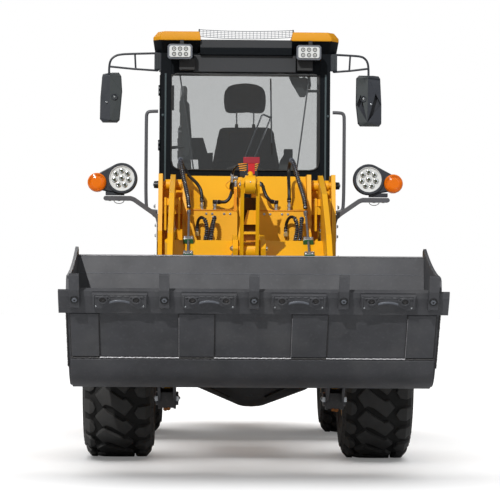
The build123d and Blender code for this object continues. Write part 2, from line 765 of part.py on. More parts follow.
# Cab interior
seat_x = 25
seat_y = cab_front_y + 490
seat_base_top_z = cab_floor_z + 350
seat_top_z = seat_base_top_z + 110
wheel_centre = Vector(0, cab_front_y + 300, cab_floor_z + 574)
wheel_normal = Vector(0, 144, 112).normalized()
steering_shaft_radius = 12
column_foot = Vector(0, cab_front_y + 140, cab_floor_z + 450)
with BuildPart() as seat_base:
    block(around(seat_x, 190), (seat_y, seat_y + 380), (cab_floor_z + seat_gap, seat_base_top_z))
save(seat_base, "seat_base")
with BuildPart() as seat_cushion:
    block(around(seat_x, 235), (seat_y - 60, seat_y + 370), (seat_base_top_z + seat_gap, seat_top_z))
    fillet(seat_cushion.edges().filter_by(Axis.Z), 60)
save(seat_cushion, "seat_cushion")
seat_back_foot = seat_top_z + seat_gap
seat_back_outline = [
    (seat_y + 330, seat_back_foot),
    (seat_y + 450, seat_back_foot),
    (seat_y + 550, seat_top_z + 540),
    (seat_y + 450, seat_top_z + 540),
]
headrest_outline = [
    (seat_y + 480, seat_top_z + 623),
    (seat_y + 560, seat_top_z + 623),
    (seat_y + 590, seat_top_z + 827),
    (seat_y + 520, seat_top_z + 827),
]
with BuildPart() as seat_back:
    side_plate(seat_back_outline, seat_x, 472, radius=25)
    for stem in (-1, 1):
        stem_x = seat_x + stem * 55
        bar((stem_x, seat_y + 495, seat_top_z + 500), (stem_x, seat_y + 522, seat_top_z + 650), 8)
    side_plate(headrest_outline, seat_x, 308, radius=25)
save(seat_back, "seat_back")
side_console_z = (cab_floor_z + seat_gap, cab_floor_z + 390)
with BuildPart() as console:
    block((-300, 300), (cab_front_y + cab_wall + seat_gap, cab_front_y + 170), (cab_floor_z + seat_gap, cab_floor_z + 530))
    bar(column_foot, wheel_centre - wheel_normal * 20, 28)
    bar(wheel_centre - wheel_normal * 25, wheel_centre, steering_shaft_radius)
    for side in (-1, 1):
        block(x_span(side, cab_inner - 150, cab_inner - seat_gap), (seat_y - 50, seat_y + 500), side_console_z)
save(console, "console")
with BuildPart() as steering_wheel:
    with Locations(Plane(origin=wheel_centre, x_dir=(1, 0, 0), z_dir=wheel_normal)):
        Torus(170, 13)
        Cylinder(34, 26)
        Box(330, 26, 12)
        Box(26, 330, 12)
    bar(wheel_centre - wheel_normal * 30, wheel_centre + wheel_normal * 2, steering_shaft_radius + pin_clearance, mode=Mode.SUBTRACT)
save(steering_wheel, "steering_wheel")

# Cab outside
mirror_x = cab_half + 318
mirror_y = cab_front_y + 40
mirror_top_z = cab_top_z - 130
with BuildPart() as mirrors:
    for side in (-1, 1):
        block(x_span(side, cab_half + seat_gap, cab_half + 40), around(mirror_y, 25), (mirror_top_z + 10, mirror_top_z + 120))
        for reach, rise, bend in [(340, 105, 60), (280, 30, 20)]:
            tube(
                [
                    (side * (cab_half + 25), mirror_y, mirror_top_z + rise),
                    (side * (cab_half + reach), mirror_y, mirror_top_z + rise),
                    (side * (cab_half + reach), mirror_y, mirror_top_z - 10),
                ],
                9,
                bend,
            )
        block(around(side * mirror_x, 66), around(mirror_y, 25), (mirror_top_z - 317, mirror_top_z))
save(mirrors, "mirrors")

rail_y = cab_front_y + 25
with BuildPart() as grab_rails:
    for side in (-1, 1):
        tube(
            [
                (side * (cab_half + seat_gap), rail_y, cab_top_z - 385),
                (side * (cab_half + 102), rail_y, cab_top_z - 385),
                (side * (cab_half + 102), rail_y, cab_floor_z + 390),
                (side * (cab_half + seat_gap), rail_y, cab_floor_z + 390),
            ],
            12,
            60,
        )
save(grab_rails, "grab_rails")

light_x = cab_half - 115
with BuildPart() as work_lights:
    for side in (-1, 1):
        block(around(side * light_x, 76), (roof_y[0] - 65, roof_y[0] - seat_gap), (cab_top_z + 5, roof_top_z - 33))
        block(around(side * light_x, 50), (roof_y[1] + seat_gap, roof_y[1] + 60), (cab_top_z + 20, roof_top_z - 33))
save(work_lights, "work_lights")

# ---- Headlights on brackets from the tower
lamp_x = outer_tower_x + 226
lamp_y = boom_pivot[0] - 10
lamp_z = tower_top_z - 29
lamp_radius = 98
amber_x = lamp_x + 145
amber_z = lamp_z - 16
amber_radius = 54
with BuildPart() as headlight_brackets:
    for side in (-1, 1):
        plate_x = outer_tower_x + tower_plate / 2 + seat_gap
        block(x_span(side, plate_x, plate_x + 12), around(lamp_y, 35), (lamp_z - 365, lamp_z - 221))
        tube(
            [
                (side * (plate_x + 6), lamp_y, lamp_z - 241),
                (side * (lamp_x - 138), lamp_y, lamp_z - 211),
                (side * (lamp_x - 48), lamp_y, lamp_z - 116),
                (side * amber_x, lamp_y, lamp_z - 111),
            ],
            14,
            30,
        )
        upright(side * lamp_x, lamp_y, 16, (lamp_z - 111, lamp_z - lamp_radius))
        upright(side * (amber_x - 6), lamp_y, 10, (lamp_z - 111, amber_z - amber_radius - seat_gap))
save(headlight_brackets, "headlight_brackets")
with BuildPart() as headlights:
    for side in (-1, 1):
        bar((side * lamp_x, lamp_y - 60, lamp_z), (side * lamp_x, lamp_y + 60, lamp_z), lamp_radius - seat_gap)
        bar((side * amber_x, lamp_y - 40, amber_z), (side * amber_x, lamp_y + 30, amber_z), amber_radius)
save(headlights, "headlights")

# ---- Boom: two cranked arms, cross tube, rocker bracket
arm_outline = [
    (boom_pivot[0] - 20, boom_pivot[1] + 60),
    (front_axle_y + 30, boom_pivot[1] - 70),
    (front_axle_y - 430, rocker_pivot[1] + 90),
    (front_axle_y - 700, rocker_pivot[1] - 145),
    (front_axle_y - 960, bucket_pivot[1] + 255),
    (bucket_pivot[0] - 42, bucket_pivot[1] + 24),
    (bucket_pivot[0] + 36, bucket_pivot[1] - 32),
    (front_axle_y - 800, bucket_pivot[1] + 255),
    (front_axle_y - 560, rocker_pivot[1] - 315),
    (front_axle_y - 300, rocker_pivot[1] - 165),
    (front_axle_y - 20, rocker_pivot[1] - 145),
    (front_axle_y + 120, lift_eye[1] - 129),
    (front_axle_y + 200, lift_eye[1] + 101),
    (front_axle_y + 420, boom_pivot[1] - 130),
    (boom_pivot[0] + 40, boom_pivot[1] - 25),
]
tube_y = (front_axle_y - 180, front_axle_y + 10)
tube_z = (rocker_pivot[1] - 125, rocker_pivot[1] + 62)
slope_head = (tube_y[1] - 40, tube_z[1])
slope_foot = (tube_y[0] - 60, tube_z[1] - 112)
ear_near = 62
ear_far = 92
with BuildPart() as boom:
    for side in (-1, 1):
        side_plate(arm_outline, side * arm_x, arm_thickness)
        cross_pin(boom_pivot, boom_hub_radius + 14, around(side * arm_x, arm_thickness / 2))
        cross_pin(boom_pivot, boom_hub_radius, around(side * arm_x, boom_hub_half))
        cross_pin(bucket_pivot, boom_end_radius, around(side * arm_x, boom_end_half))
        cross_pin(boom_pivot, boom_pin_radius + pin_clearance, around(side * arm_x, 60), mode=Mode.SUBTRACT)
        cross_pin(bucket_pivot, bucket_pin_radius + pin_clearance, around(side * arm_x, 60), mode=Mode.SUBTRACT)
        for cheek in (-1, 1):
            cheek_x = side * arm_x + cheek * (arm_thickness / 2 + 8 + lift_cylinder["half"] - 9)
            side_plate(
                [
                    (lift_eye[0] - 60, lift_eye[1] + 131),
                    (lift_eye[0] - 42, lift_eye[1] - 30),
                    (lift_eye[0] + 42, lift_eye[1] - 30),
                    (lift_eye[0] + 60, lift_eye[1] + 146),
                ],
                cheek_x,
                12,
            )
            block(around(cheek_x, 6), (lift_eye[0] - 60, lift_eye[0] + 50), (lift_eye[1] + 111, lift_eye[1] + 160))
        block(
            around(side * arm_x, arm_thickness / 2 + 8 + lift_cylinder["half"] - 9),
            (lift_eye[0] - 50, lift_eye[0] + 40),
            (lift_eye[1] + 115, lift_eye[1] + 155),
        )
    block((-ear_far, ear_far), tube_y, tube_z)
    for side in (-1, 1):
        side_plate(
            [(tube_y[0], tube_z[0]), (slope_foot[0], tube_z[0]), slope_foot, slope_head, (tube_y[1], slope_head[1]), (tube_y[1], tube_z[0])],
            side * (ear_far + arm_x) / 2,
            arm_x - ear_far,
        )
    for side in (-1, 1):
        side_plate(
            [
                (tube_y[1], rocker_pivot[1] - 55),
                (tube_y[1] - 60, tube_z[1] + 30),
                (rocker_pivot[0] + 10, rocker_pivot[1] + 58),
                (rocker_pivot[0] - 58, rocker_pivot[1] + 10),
                (rocker_pivot[0] - 30, rocker_pivot[1] - 55),
                (tube_y[0], rocker_pivot[1] - 115),
            ],
            side * (ear_near + ear_far) / 2,
            ear_far - ear_near,
        )
    cross_pin(rocker_pivot, rocker_pin_radius, (-ear_near, ear_near))
save(boom, "boom")

# ---- Rocker: two plates on a hub
rocker_outline = [
    (rocker_top[0] - 42, rocker_top[1] + 5),
    (rocker_top[0] + 15, rocker_top[1] + 40),
    (rocker_top[0] + 55, rocker_top[1] - 20),
    (rocker_pivot[0] + 70, rocker_pivot[1] + 10),
    (rocker_foot[0] + 42, rocker_foot[1]),
    (rocker_foot[0] + 15, rocker_foot[1] - 42),
    (rocker_foot[0] - 38, rocker_foot[1] - 20),
    (rocker_pivot[0] - 70, rocker_pivot[1] - 20),
]
rocker_inner = rocker_plate_x - rocker_plate / 2
rocker_outer = rocker_plate_x + rocker_plate / 2
with BuildPart() as rocker:
    for side in (-1, 1):
        side_plate(rocker_outline, side * rocker_plate_x, rocker_plate)
    cross_pin(rocker_pivot, rocker_hub_radius, (-rocker_outer, rocker_outer))
    cross_pin(rocker_pivot, rocker_pin_radius + pin_clearance, (-60, 60), mode=Mode.SUBTRACT)
save(rocker, "rocker")

# ---- Bucket link, hinged on the bucket and open at the rocker's foot
with BuildPart() as bucket_link:
    start = rocker_foot
    end = link_pin
    with Locations(Plane(origin=(0, (start[0] + end[0]) / 2, (start[1] + end[1]) / 2), x_dir=(0, end[0] - start[0], end[1] - start[1]), z_dir=(1, 0, 0))):
        Box(hypot(end[0] - start[0], end[1] - start[1]), 60, 2 * link_half)
    for point in (start, end):
        cross_pin(point, link_eye_radius, (-link_half, link_half))
        cross_pin(point, link_pin_radius + pin_clearance, (-60, 60), mode=Mode.SUBTRACT)
save(bucket_link, "bucket_link")

# ---- Bucket
curve = (bucket_curve_start, bucket_curve_radius)
lip_reach = hypot(bucket_lip[0] - curve[0], bucket_lip[1] - curve[1])


def curve_point(radius, share):
    """A point of the bucket's curve: share 0 is at the floor and 1 is where the straight back starts."""
    lip_angle = degrees(atan2(bucket_lip[1] - curve[1], bucket_lip[0] - curve[0]))
    end_angle = lip_angle + degrees(atan2((lip_reach**2 - bucket_curve_radius**2) ** 0.5, bucket_curve_radius))
    angle = radians(270 + share * (end_angle - 270))
    return (curve[0] + radius * cos(angle), curve[1] + radius * sin(angle))


def back_direction():
    near = curve_point(bucket_curve_radius, 1)
    length = hypot(bucket_lip[0] - near[0], bucket_lip[1] - near[1])
    return ((bucket_lip[0] - near[0]) / length, (bucket_lip[1] - near[1]) / length)


back = back_direction()
lip_inner = (bucket_lip[0] + back[1] * bucket_wall, bucket_lip[1] - back[0] * bucket_wall)
inner_radius = bucket_curve_radius - bucket_wall


def bucket_face(outer_loop, x):
    """A closed outline in the bucket's frame from a list of ('line' or 'arc', points)."""
    with BuildSketch(Plane.YZ.offset(x)) as outline:
        with BuildLine():
            for kind, *points in outer_loop:
                placed = [from_bucket(*point) for point in points]
                if kind == "arc":
                    ThreePointArc(*placed)
                else:
                    Polyline(*placed)
        make_face()
    return outline.sketch


outer_arc = [curve_point(bucket_curve_radius, share) for share in (0, 0.5, 1)]
inner_arc = [curve_point(inner_radius, share) for share in (0, 0.5, 1)]
shell_loop = [
    ("line", (bucket_floor, bucket_wall), (bucket_floor, 0), outer_arc[0]),
    ("arc", *outer_arc),
    ("line", outer_arc[2], bucket_lip, lip_inner, inner_arc[2]),
    ("arc", *reversed(inner_arc)),
    ("line", inner_arc[0], (bucket_floor, bucket_wall)),
]
cavity_loop = [
    ("line", lip_inner, (bucket_floor + 60, bucket_wall), inner_arc[0]),
    ("arc", *inner_arc),
    ("line", inner_arc[2], lip_inner),
]
side_loop = [
    ("line", outer_arc[2], (238, 742), (232, 782), (262, 800), (300, 775)),
    ("arc", (300, 775), (490, 335), (640, 75)),
    ("line", (640, 75), (645, 40), (bucket_floor, 0), outer_arc[0]),
    ("arc", *outer_arc),
]
hinge = to_bucket(bucket_pivot)
pin = to_bucket(link_pin)
hinge_ear = [(hinge[0] - 40, hinge[1] - 38), (hinge[0] - 52, hinge[1] + 14), (hinge[0] - 10, hinge[1] + 52), (-85, 372), (60, 240), (-15, 38)]
link_ear = [(pin[0] - 44, pin[1] - 8), (pin[0] - 14, pin[1] + 42), (70, 560), (60, 380), (-60, 240), (-128, 240)]
ear_offset = 40
ear_thickness = 14

with BuildPart() as bucket:
    for side in (-1, 1):
        for cheek in (-1, 1):
            side_plate([from_bucket(*p) for p in hinge_ear], side * arm_x + cheek * ear_offset, ear_thickness)
        side_plate([from_bucket(*p) for p in link_ear], side * rocker_plate_x, rocker_plate)
    extrude(bucket_face(cavity_loop, 0), amount=bucket_half, both=True, mode=Mode.SUBTRACT)
    extrude(bucket_face(shell_loop, 0), amount=bucket_half - bucket_side, both=True)
    for side in (-1, 1):
        extrude(bucket_face(side_loop, side * (bucket_half - bucket_side / 2)), amount=bucket_side / 2, both=True)
        cross_pin(bucket_pivot, bucket_pin_radius, around(side * arm_x, ear_offset))
    cross_pin(link_pin, link_pin_radius, (-rocker_inner, rocker_inner))
    edge_loop = [
        (bucket_floor - edge_depth, 0),
        (bucket_floor, 0),
        (bucket_floor, -edge_thickness + 6),
        (bucket_floor - 30, -edge_thickness),
        (bucket_floor - edge_depth, -edge_thickness),
    ]
    side_plate([from_bucket(*p) for p in edge_loop], 0, 2 * edge_half)
save(bucket, "bucket")

under = -edge_thickness - seat_gap
with BuildPart() as edge_segments:
    for slot in (-1.5, -0.5, 0.5, 1.5):
        side_plate(
            [from_bucket(*p) for p in [(505, under), (595, under), (592, under - 14), (575, under - 25), (505, under - 25)]],
            slot * tooth_pitch,
            segment_width,
        )
save(edge_segments, "edge_segments")
with BuildPart() as bucket_teeth:
    for place in (-2, -1, 0, 1, 2):
        side_plate(
            [from_bucket(*p) for p in [(515, under), (bucket_floor + seat_gap, under), (bucket_floor + seat_gap, -4), (716, -10), (716, -24), (640, under - 28), (530, under - 28), (515, under - 14)]],
            place * tooth_pitch,
            tooth_width,
        )
save(bucket_teeth, "bucket_teeth")


# ---- Cylinders
# ---- Routes of the hoses, placed from the valve cover's ridge
ridge = Vector(0, cover_front_y, cover_ridge_z)
pipe_end = Vector(341, boom_pivot[0] - 250, boom_pivot[1] - 165)
port = Vector(tilt_cylinder["outer"] + 14, boom_pivot[0] - 130, boom_pivot[1] + 14)
fitting_x = [-266, -190, 170, 247]
fitting_y = 16
fitting_height = 50
fitting_length = 18
elbow_x = [-293, 227]
elbow_top = -121
block_x = [(-266, -204), (262, 328)]
block_top = -235


def from_ridge(points):
    return [ridge + Vector(*point) for point in points]


boom_hose_routes = [
    (-1, from_ridge([
        (-266, 16, 50.3), (-266, 16, 106), (-289, 44, 155), (-315, 86, 188), (-339, 131, 214), (-362, 167, 252),
        (-384, 162, 303), (-396, 118, 335), (-394, 64, 320), (-386, 31, 274), (-378, 16, 219), (-367, 3, 164),
        (-356, -17, 112), (-345, -36, 62),
    ])),
    (1, from_ridge([
        (247, 16, 50.3), (247, 16, 106), (246, 45, 155), (246, 91, 189), (247, 138, 220), (249, 169, 266),
        (253, 151, 317), (261, 102, 337), (271, 53, 314), (283, 28, 266), (295, 15, 212), (309, 1, 159),
        (324, -18, 107), (337, -37, 57),
    ])),
]
tilt_hose_routes = [
    (-1, from_ridge([(-156, -13, 49), (-127, -24, 48), (-105, -19, 69), (-95, -4, 96), (-89, 13, 122), (-87, 36, 148)])),
    (1, from_ridge([(143, -13, 52), (116, -19, 76), (103, -6, 104), (95, 13, 130), (91, 37, 153)])),
]
face_hose_routes = [
    from_ridge([
        (-293, -21, -120.7), (-293, -21, -84), (-284, -43, -52), (-265, -72, -40), (-243, -95, -62), (-235, -100, -100),
        (-238, -91, -138), (-244, -72, -171), (-250, -54, -202), (-250, -54, block_top + seat_gap),
    ]),
    from_ridge([
        (-217, -52, block_top + seat_gap), (-217, -52, -212), (-215, -77, -188), (-211, -94, -156), (-205, -101, -119),
        (-198, -100, -82), (-192, -88, -48), (-193, -53, -43), (-202, -27, -67), (-211, -19, -102), (-220, -20, -139),
        (-228, -22, -176), (-228, -22, block_top + seat_gap),
    ]),
    from_ridge([
        (227, -21, -120.7), (227, -21, -88), (235, -41, -55), (253, -64, -34), (276, -90, -42), (289, -101, -74),
        (290, -97, -111), (286, -86, -145), (279, -68, -178), (275, -53, -204), (275, -53, block_top + seat_gap),
    ]),
    from_ridge([
        (301, -54, block_top + seat_gap), (301, -54, -212), (304, -77, -182), (308, -90, -148), (312, -94, -110),
        (316, -88, -72), (319, -63, -44), (318, -31, -55), (316, -21, -92), (314, -20, -140), (313, -21, -192),
        (313, -21, block_top + seat_gap),
    ]),
]


def barrel_solid(x, base, eye, size, span):
    """A barrel from its base pin towards the rod's eye, bored for the rod."""
    start = (x, *between(base, eye, size["neck"]))
    tip = (x, *between(base, eye, size["barrel"]))
    bore_start = (x, *between(base, eye, size["neck"] + 20))
    gland = (x, *between(base, eye, size["barrel"] - 30))
    far = (x, *between(base, eye, size["barrel"] + 10))
    bar((x, *base), start, span)
    bar(start, tip, size["outer"])
    cross_pin(base, size["eye"], around(x, span))
    cross_pin(base, size["pin"] + pin_clearance, around(x, 80), mode=Mode.SUBTRACT)
    bar(bore_start, gland, size["outer"] - cylinder_wall, mode=Mode.SUBTRACT)
    bar(bore_start, far, size["rod"] + pin_clearance, mode=Mode.SUBTRACT)


def rod_solid(x, base, eye, size, span, bore):
    """A rod from inside the barrel to its eye."""
    reach = hypot(eye[0] - base[0], eye[1] - base[1])
    start = (x, *between(base, eye, reach - size["length"]))
    bar(start, (x, *eye), size["rod"])
    cross_pin(eye, size["eye"], around(x, span))
    cross_pin(eye, bore, around(x, 80), mode=Mode.SUBTRACT)


with BuildPart() as lift_barrels:
    for side in (-1, 1):
        barrel_solid(side * arm_x, lift_base, lift_eye, lift_cylinder, lift_cylinder["half"])
save(lift_barrels, "lift_barrels")
with BuildPart() as lift_rods:
    for side in (-1, 1):
        rod_solid(side * arm_x, lift_base, lift_eye, lift_cylinder, 16, lift_cylinder["pin"])
save(lift_rods, "lift_rods")
with BuildPart() as tilt_barrel:
    barrel_solid(0, boom_pivot, rocker_top, tilt_cylinder, tilt_cylinder["half"])
    for side, points in tilt_hose_routes:
        elbow = Vector(side * port.X, port.Y, port.Z)
        cross_pin((port.Y, port.Z), 11, x_span(side, tilt_cylinder["outer"] - 8, port.X))
        bar(elbow - Vector(0, 13, 0), elbow + Vector(0, 13, 0), 13)
        bar(elbow, elbow + (points[-1] - elbow).normalized() * fitting_length, 11)
save(tilt_barrel, "tilt_barrel")
with BuildPart() as tilt_rod:
    rod_solid(0, boom_pivot, rocker_top, tilt_cylinder, tilt_cylinder["half"], tilt_cylinder["pin"])
save(tilt_rod, "tilt_rod")

# ---- Level indicator on the tilt rod's eye
indicator_foot_z = rocker_top[1] + tilt_cylinder["eye"] + seat_gap
with BuildPart() as level_indicator:
    block(around(6, 20), around(rocker_top[0], 14), (indicator_foot_z, indicator_foot_z + 18))
    block(around(6, 18), around(rocker_top[0], 6), (indicator_foot_z + 16, indicator_foot_z + 78))
    block(around(6, 45), around(rocker_top[0], 6), (indicator_foot_z + 76, indicator_foot_z + 109))
save(level_indicator, "level_indicator")

# ---- Pipes on the boom, each in two clamps on the sloped plate and ending at a plate on the arm
pipe_x = pipe_end.X
slope_angle = atan2(slope_head[1] - slope_foot[1], slope_head[0] - slope_foot[0])
clamp_height = 34
slope_down = Vector(0, -cos(slope_angle), -sin(slope_angle))
slope_out = Vector(0, -sin(slope_angle), cos(slope_angle))
with BuildPart() as boom_pipes:
    for side, points in boom_hose_routes:
        start = Vector(side * pipe_end.X, pipe_end.Y, pipe_end.Z)
        bar(start, start + (points[-1] - start).normalized() * fitting_length, 13)
        head = Vector(side * pipe_x, *slope_head) + slope_out * (clamp_height / 2 + seat_gap)
        plate_y = front_axle_y - 560
        tube(
            [
                (side * pipe_x, pipe_end.Y, pipe_end.Z),
                (side * pipe_x, pipe_end.Y - 70, pipe_end.Z - 30),
                head + slope_down * 10,
                head + slope_down * 262,
                (side * (pipe_x + 12), slope_foot[0] - 60, slope_foot[1] - 70),
                (side * (arm_x - 53), plate_y + 110, rocker_pivot[1] - 195),
                (side * (arm_x - 53), plate_y - 4, rocker_pivot[1] - 262),
            ],
            pipe_radius,
            18,
        )
        for along in (30, 212):
            with Locations(Plane(origin=head + slope_down * along, x_dir=(1, 0, 0), z_dir=slope_out)):
                Box(58, 38, clamp_height)
        block(x_span(side, arm_x - 75, arm_x - arm_thickness / 2 - seat_gap), (plate_y - 10, plate_y), around(rocker_pivot[1] - 262, 32))
save(boom_pipes, "boom_pipes")

# ---- Fittings and hoses at the valve cover
with BuildPart() as hose_fittings:
    for x in fitting_x:
        fitting = ridge + Vector(x, fitting_y, 0)
        upright(fitting.X, fitting.Y, 11, (fitting.Z + seat_gap, fitting.Z + 22))
        upright(fitting.X, fitting.Y, 8, (fitting.Z + 20, fitting.Z + fitting_height))
    for x, (side, points) in zip(fitting_x[1:3], tilt_hose_routes):
        fitting = ridge + Vector(x, fitting_y, fitting_height)
        upright(fitting.X, fitting.Y, 13, around(fitting.Z, 12))
        bar(fitting, fitting + (points[0] - fitting).normalized() * fitting_length, 11)
    for x in elbow_x:
        elbow_z = ridge.Z + elbow_top
        block(around(x, 11), (ridge.Y - 32, ridge.Y - seat_gap), (elbow_z - 30, elbow_z))
    for span in block_x:
        block(span, (ridge.Y - 64, ridge.Y - seat_gap), (ridge.Z + block_top - 36, ridge.Z + block_top))
save(hose_fittings, "hose_fittings")

with BuildPart() as boom_hoses:
    for side, points in boom_hose_routes:
        start = Vector(side * pipe_end.X, pipe_end.Y, pipe_end.Z)
        last = start + (points[-1] - start).normalized() * (fitting_length + seat_gap)
        hose(points + [last], hose_radius, "boom hose")
save(boom_hoses, "boom_hoses")

with BuildPart() as tilt_hoses:
    for x, (side, points) in zip(fitting_x[1:3], tilt_hose_routes):
        fitting = ridge + Vector(x, fitting_y, fitting_height)
        elbow = Vector(side * port.X, port.Y, port.Z)
        first = fitting + (points[0] - fitting).normalized() * (fitting_length + seat_gap)
        last = elbow + (points[-1] - elbow).normalized() * (fitting_length + 2 * seat_gap)
        hose([first] + points + [last], hose_radius, "tilt hose")
save(tilt_hoses, "tilt_hoses")

with BuildPart() as face_hoses:
    for points in face_hose_routes:
        hose(points, hose_radius - 1, "face hose")
save(face_hoses, "face_hoses")

for hand, side in wheel_sides:
    base = Vector(side * steer_base[0], steer_base[1], steer_z)
    eye = Vector(side * steer_eye[0], steer_eye[1], steer_z)
    direction = (eye - base).normalized()
    size = steer_cylinder
    with BuildPart() as steer_barrel:
        bar(base, base + direction * size["barrel"], size["outer"])
        block(around(base.X, 2 * size["outer"]), around(base.Y, size["eye"] + 8), (steer_z + size["half"], steer_z + 80), mode=Mode.SUBTRACT)
        block(around(base.X, 2 * size["outer"]), around(base.Y, size["eye"] + 8), (steer_z - 80, steer_z - size["half"]), mode=Mode.SUBTRACT)
        upright(base.X, base.Y, size["eye"], around(steer_z, size["half"]))
        upright(base.X, base.Y, size["pin"] + pin_clearance, around(steer_z, 80), mode=Mode.SUBTRACT)
        bar(base + direction * 60, base + direction * (size["barrel"] - 25), size["outer"] - cylinder_wall, mode=Mode.SUBTRACT)
        bar(base + direction * 60, base + direction * (size["barrel"] + 10), size["rod"] + pin_clearance, mode=Mode.SUBTRACT)
    save(steer_barrel, f"steer_barrel_{hand}")
    with BuildPart() as steer_rod:
        bar(eye - direction * size["length"], eye, size["rod"])
        upright(eye.X, eye.Y, size["eye"], around(steer_z, size["half"]))
        upright(eye.X, eye.Y, size["pin"], around(steer_z, 80), mode=Mode.SUBTRACT)
    save(steer_rod, f"steer_rod_{hand}")
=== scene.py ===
from math import atan2, cos, pi, radians, sin, tau

import bmesh
import bpy
from mathutils import Matrix, Vector


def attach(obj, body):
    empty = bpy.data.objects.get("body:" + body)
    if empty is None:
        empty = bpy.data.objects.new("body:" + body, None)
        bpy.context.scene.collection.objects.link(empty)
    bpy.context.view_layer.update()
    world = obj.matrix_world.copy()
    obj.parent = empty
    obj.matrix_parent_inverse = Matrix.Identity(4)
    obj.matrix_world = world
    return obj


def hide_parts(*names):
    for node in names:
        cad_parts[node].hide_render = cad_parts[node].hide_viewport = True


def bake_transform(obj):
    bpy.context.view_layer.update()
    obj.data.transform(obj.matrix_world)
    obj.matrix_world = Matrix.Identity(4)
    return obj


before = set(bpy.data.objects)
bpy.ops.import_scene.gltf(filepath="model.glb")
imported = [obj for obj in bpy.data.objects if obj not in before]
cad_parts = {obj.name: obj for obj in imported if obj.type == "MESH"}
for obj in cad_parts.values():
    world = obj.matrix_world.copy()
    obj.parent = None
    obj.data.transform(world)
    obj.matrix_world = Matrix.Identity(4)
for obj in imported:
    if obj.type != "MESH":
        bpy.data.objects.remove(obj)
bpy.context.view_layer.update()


# ---------------------------------------------------------------- Materials
def srgb(r, g, b):
    """Linear colour from 0-255 display values."""
    return tuple(((c / 255 + 0.055) / 1.055) ** 2.4 if c > 10 else c / 255 / 12.92 for c in (r, g, b)) + (1,)


class Tree:
    """Short calls for building one material's nodes."""

    def __init__(self, name):
        self.mat = bpy.data.materials.new(name)
        self.mat.use_nodes = True
        self.tree = self.mat.node_tree
        self.bsdf = self.tree.nodes["Principled BSDF"]
        self.out = self.tree.nodes["Material Output"]

    def add(self, kind, values=None, links=None, **settings):
        """A node with plain input values, linked inputs and settings."""
        node = self.tree.nodes.new(kind)
        for key, value in settings.items():
            setattr(node, key, value)
        for key, value in (values or {}).items():
            node.inputs[key].default_value = value
        for key, socket in (links or {}).items():
            self.tree.links.new(socket, node.inputs[key])
        return node

    def link(self, socket, target):
        self.tree.links.new(socket, target)

    def math(self, operation, a, b, clamp=False):
        node = self.add("ShaderNodeMath", operation=operation, use_clamp=clamp)
        for socket, value in zip(node.inputs, (a, b)):
            self.feed(value, socket)
        return node.outputs[0]

    def feed(self, value, socket):
        """Links a socket's value, or sets a plain one."""
        if isinstance(value, bpy.types.NodeSocket):
            self.link(value, socket)
        else:
            socket.default_value = value

    def ramp(self, fac, stops):
        """Colour through stops of (place, colour)."""
        node = self.add("ShaderNodeValToRGB", links={"Fac": fac})
        ramp = node.color_ramp
        while len(ramp.elements) < len(stops):
            ramp.elements.new(0.5)
        for element, (place, colour) in zip(ramp.elements, stops):
            element.position = place
            element.color = colour
        return node.outputs["Color"]

    def noise(self, scale, detail, stretch=None):
        """Noise fixed to the object, its grain optionally stretched."""
        place = self.add("ShaderNodeTexCoord").outputs["Object"]
        if stretch:
            place = self.add("ShaderNodeMapping", {"Scale": stretch}, {"Vector": place}).outputs["Vector"]
        return self.add("ShaderNodeTexNoise", {"Scale": scale, "Detail": detail}, {"Vector": place}).outputs["Fac"]

    def mix(self, fac, a, b, blend="MIX"):
        node = self.add("ShaderNodeMix", data_type="RGBA", blend_type=blend)
        for index, value in ((0, fac), (6, a), (7, b)):
            self.feed(value, node.inputs[index])
        return node.outputs[2]


def shade(colour, factor):
    """A colour made lighter or darker."""
    return tuple(min(1, c * factor) for c in colour[:3]) + (1,)


def surface(name, colour, rough=0.45, metal=0.0, vary=0.1, patch=3.0, grain=0.15, grain_scale=350,
            edge=0.002, wear=None, wear_amount=0.5, stretch=None, coat=0.0, dust=None, sheen=0.0, gloss_level=0.5):
    """A painted, moulded or metal surface: soft colour drift, fine grain, rounded and worn edges."""
    t = Tree(name)
    drift = t.noise(patch, 5, stretch)
    base = t.ramp(drift, [(0.3, shade(colour, 1 - vary)), (0.7, shade(colour, 1 + vary))])
    rounded = t.add("ShaderNodeBevel", {"Radius": edge}, samples=4).outputs["Normal"]
    if wear:
        flat = t.add("ShaderNodeNewGeometry").outputs["Normal"]
        dot = t.add("ShaderNodeVectorMath", links={0: rounded, 1: flat}, operation="DOT_PRODUCT").outputs["Value"]
        speck = t.noise(60, 6)
        scuff = t.math("SUBTRACT", speck, 0.55)
        near = t.math("MULTIPLY", t.math("SUBTRACT", 1.0, dot), 6.0 * wear_amount)
        near = t.math("SUBTRACT", t.math("ADD", near, 1.0), 0.9)
        worn = t.math("MULTIPLY", t.math("MULTIPLY", near, scuff, True), 3.5, True)
        base = t.mix(worn, base, wear)
    if dust:
        cloud = t.ramp(t.noise(5, 8), [(0.5, (0, 0, 0, 1)), (0.8, (0.35, 0.35, 0.35, 1))])
        base = t.mix(cloud, base, dust)
    t.link(base, t.bsdf.inputs["Base Color"])
    gloss = t.noise(25, 5, stretch)
    spread = t.add("ShaderNodeMapRange", {"To Min": max(0.02, rough - 0.08), "To Max": min(1, rough + 0.1)},
                   {"Value": gloss})
    t.link(spread.outputs["Result"], t.bsdf.inputs["Roughness"])
    t.bsdf.inputs["Metallic"].default_value = metal
    t.bsdf.inputs["Specular IOR Level"].default_value = gloss_level
    if coat:
        t.bsdf.inputs["Coat Weight"].default_value = coat
        t.bsdf.inputs["Coat Roughness"].default_value = 0.12
    if sheen:
        t.bsdf.inputs["Sheen Weight"].default_value = sheen
    fine = t.noise(grain_scale, 3, stretch)
    bump = t.add("ShaderNodeBump", {"Strength": grain, "Distance": 0.001}, {"Height": fine, "Normal": rounded})
    t.link(bump.outputs["Normal"], t.bsdf.inputs["Normal"])
    return t.mat


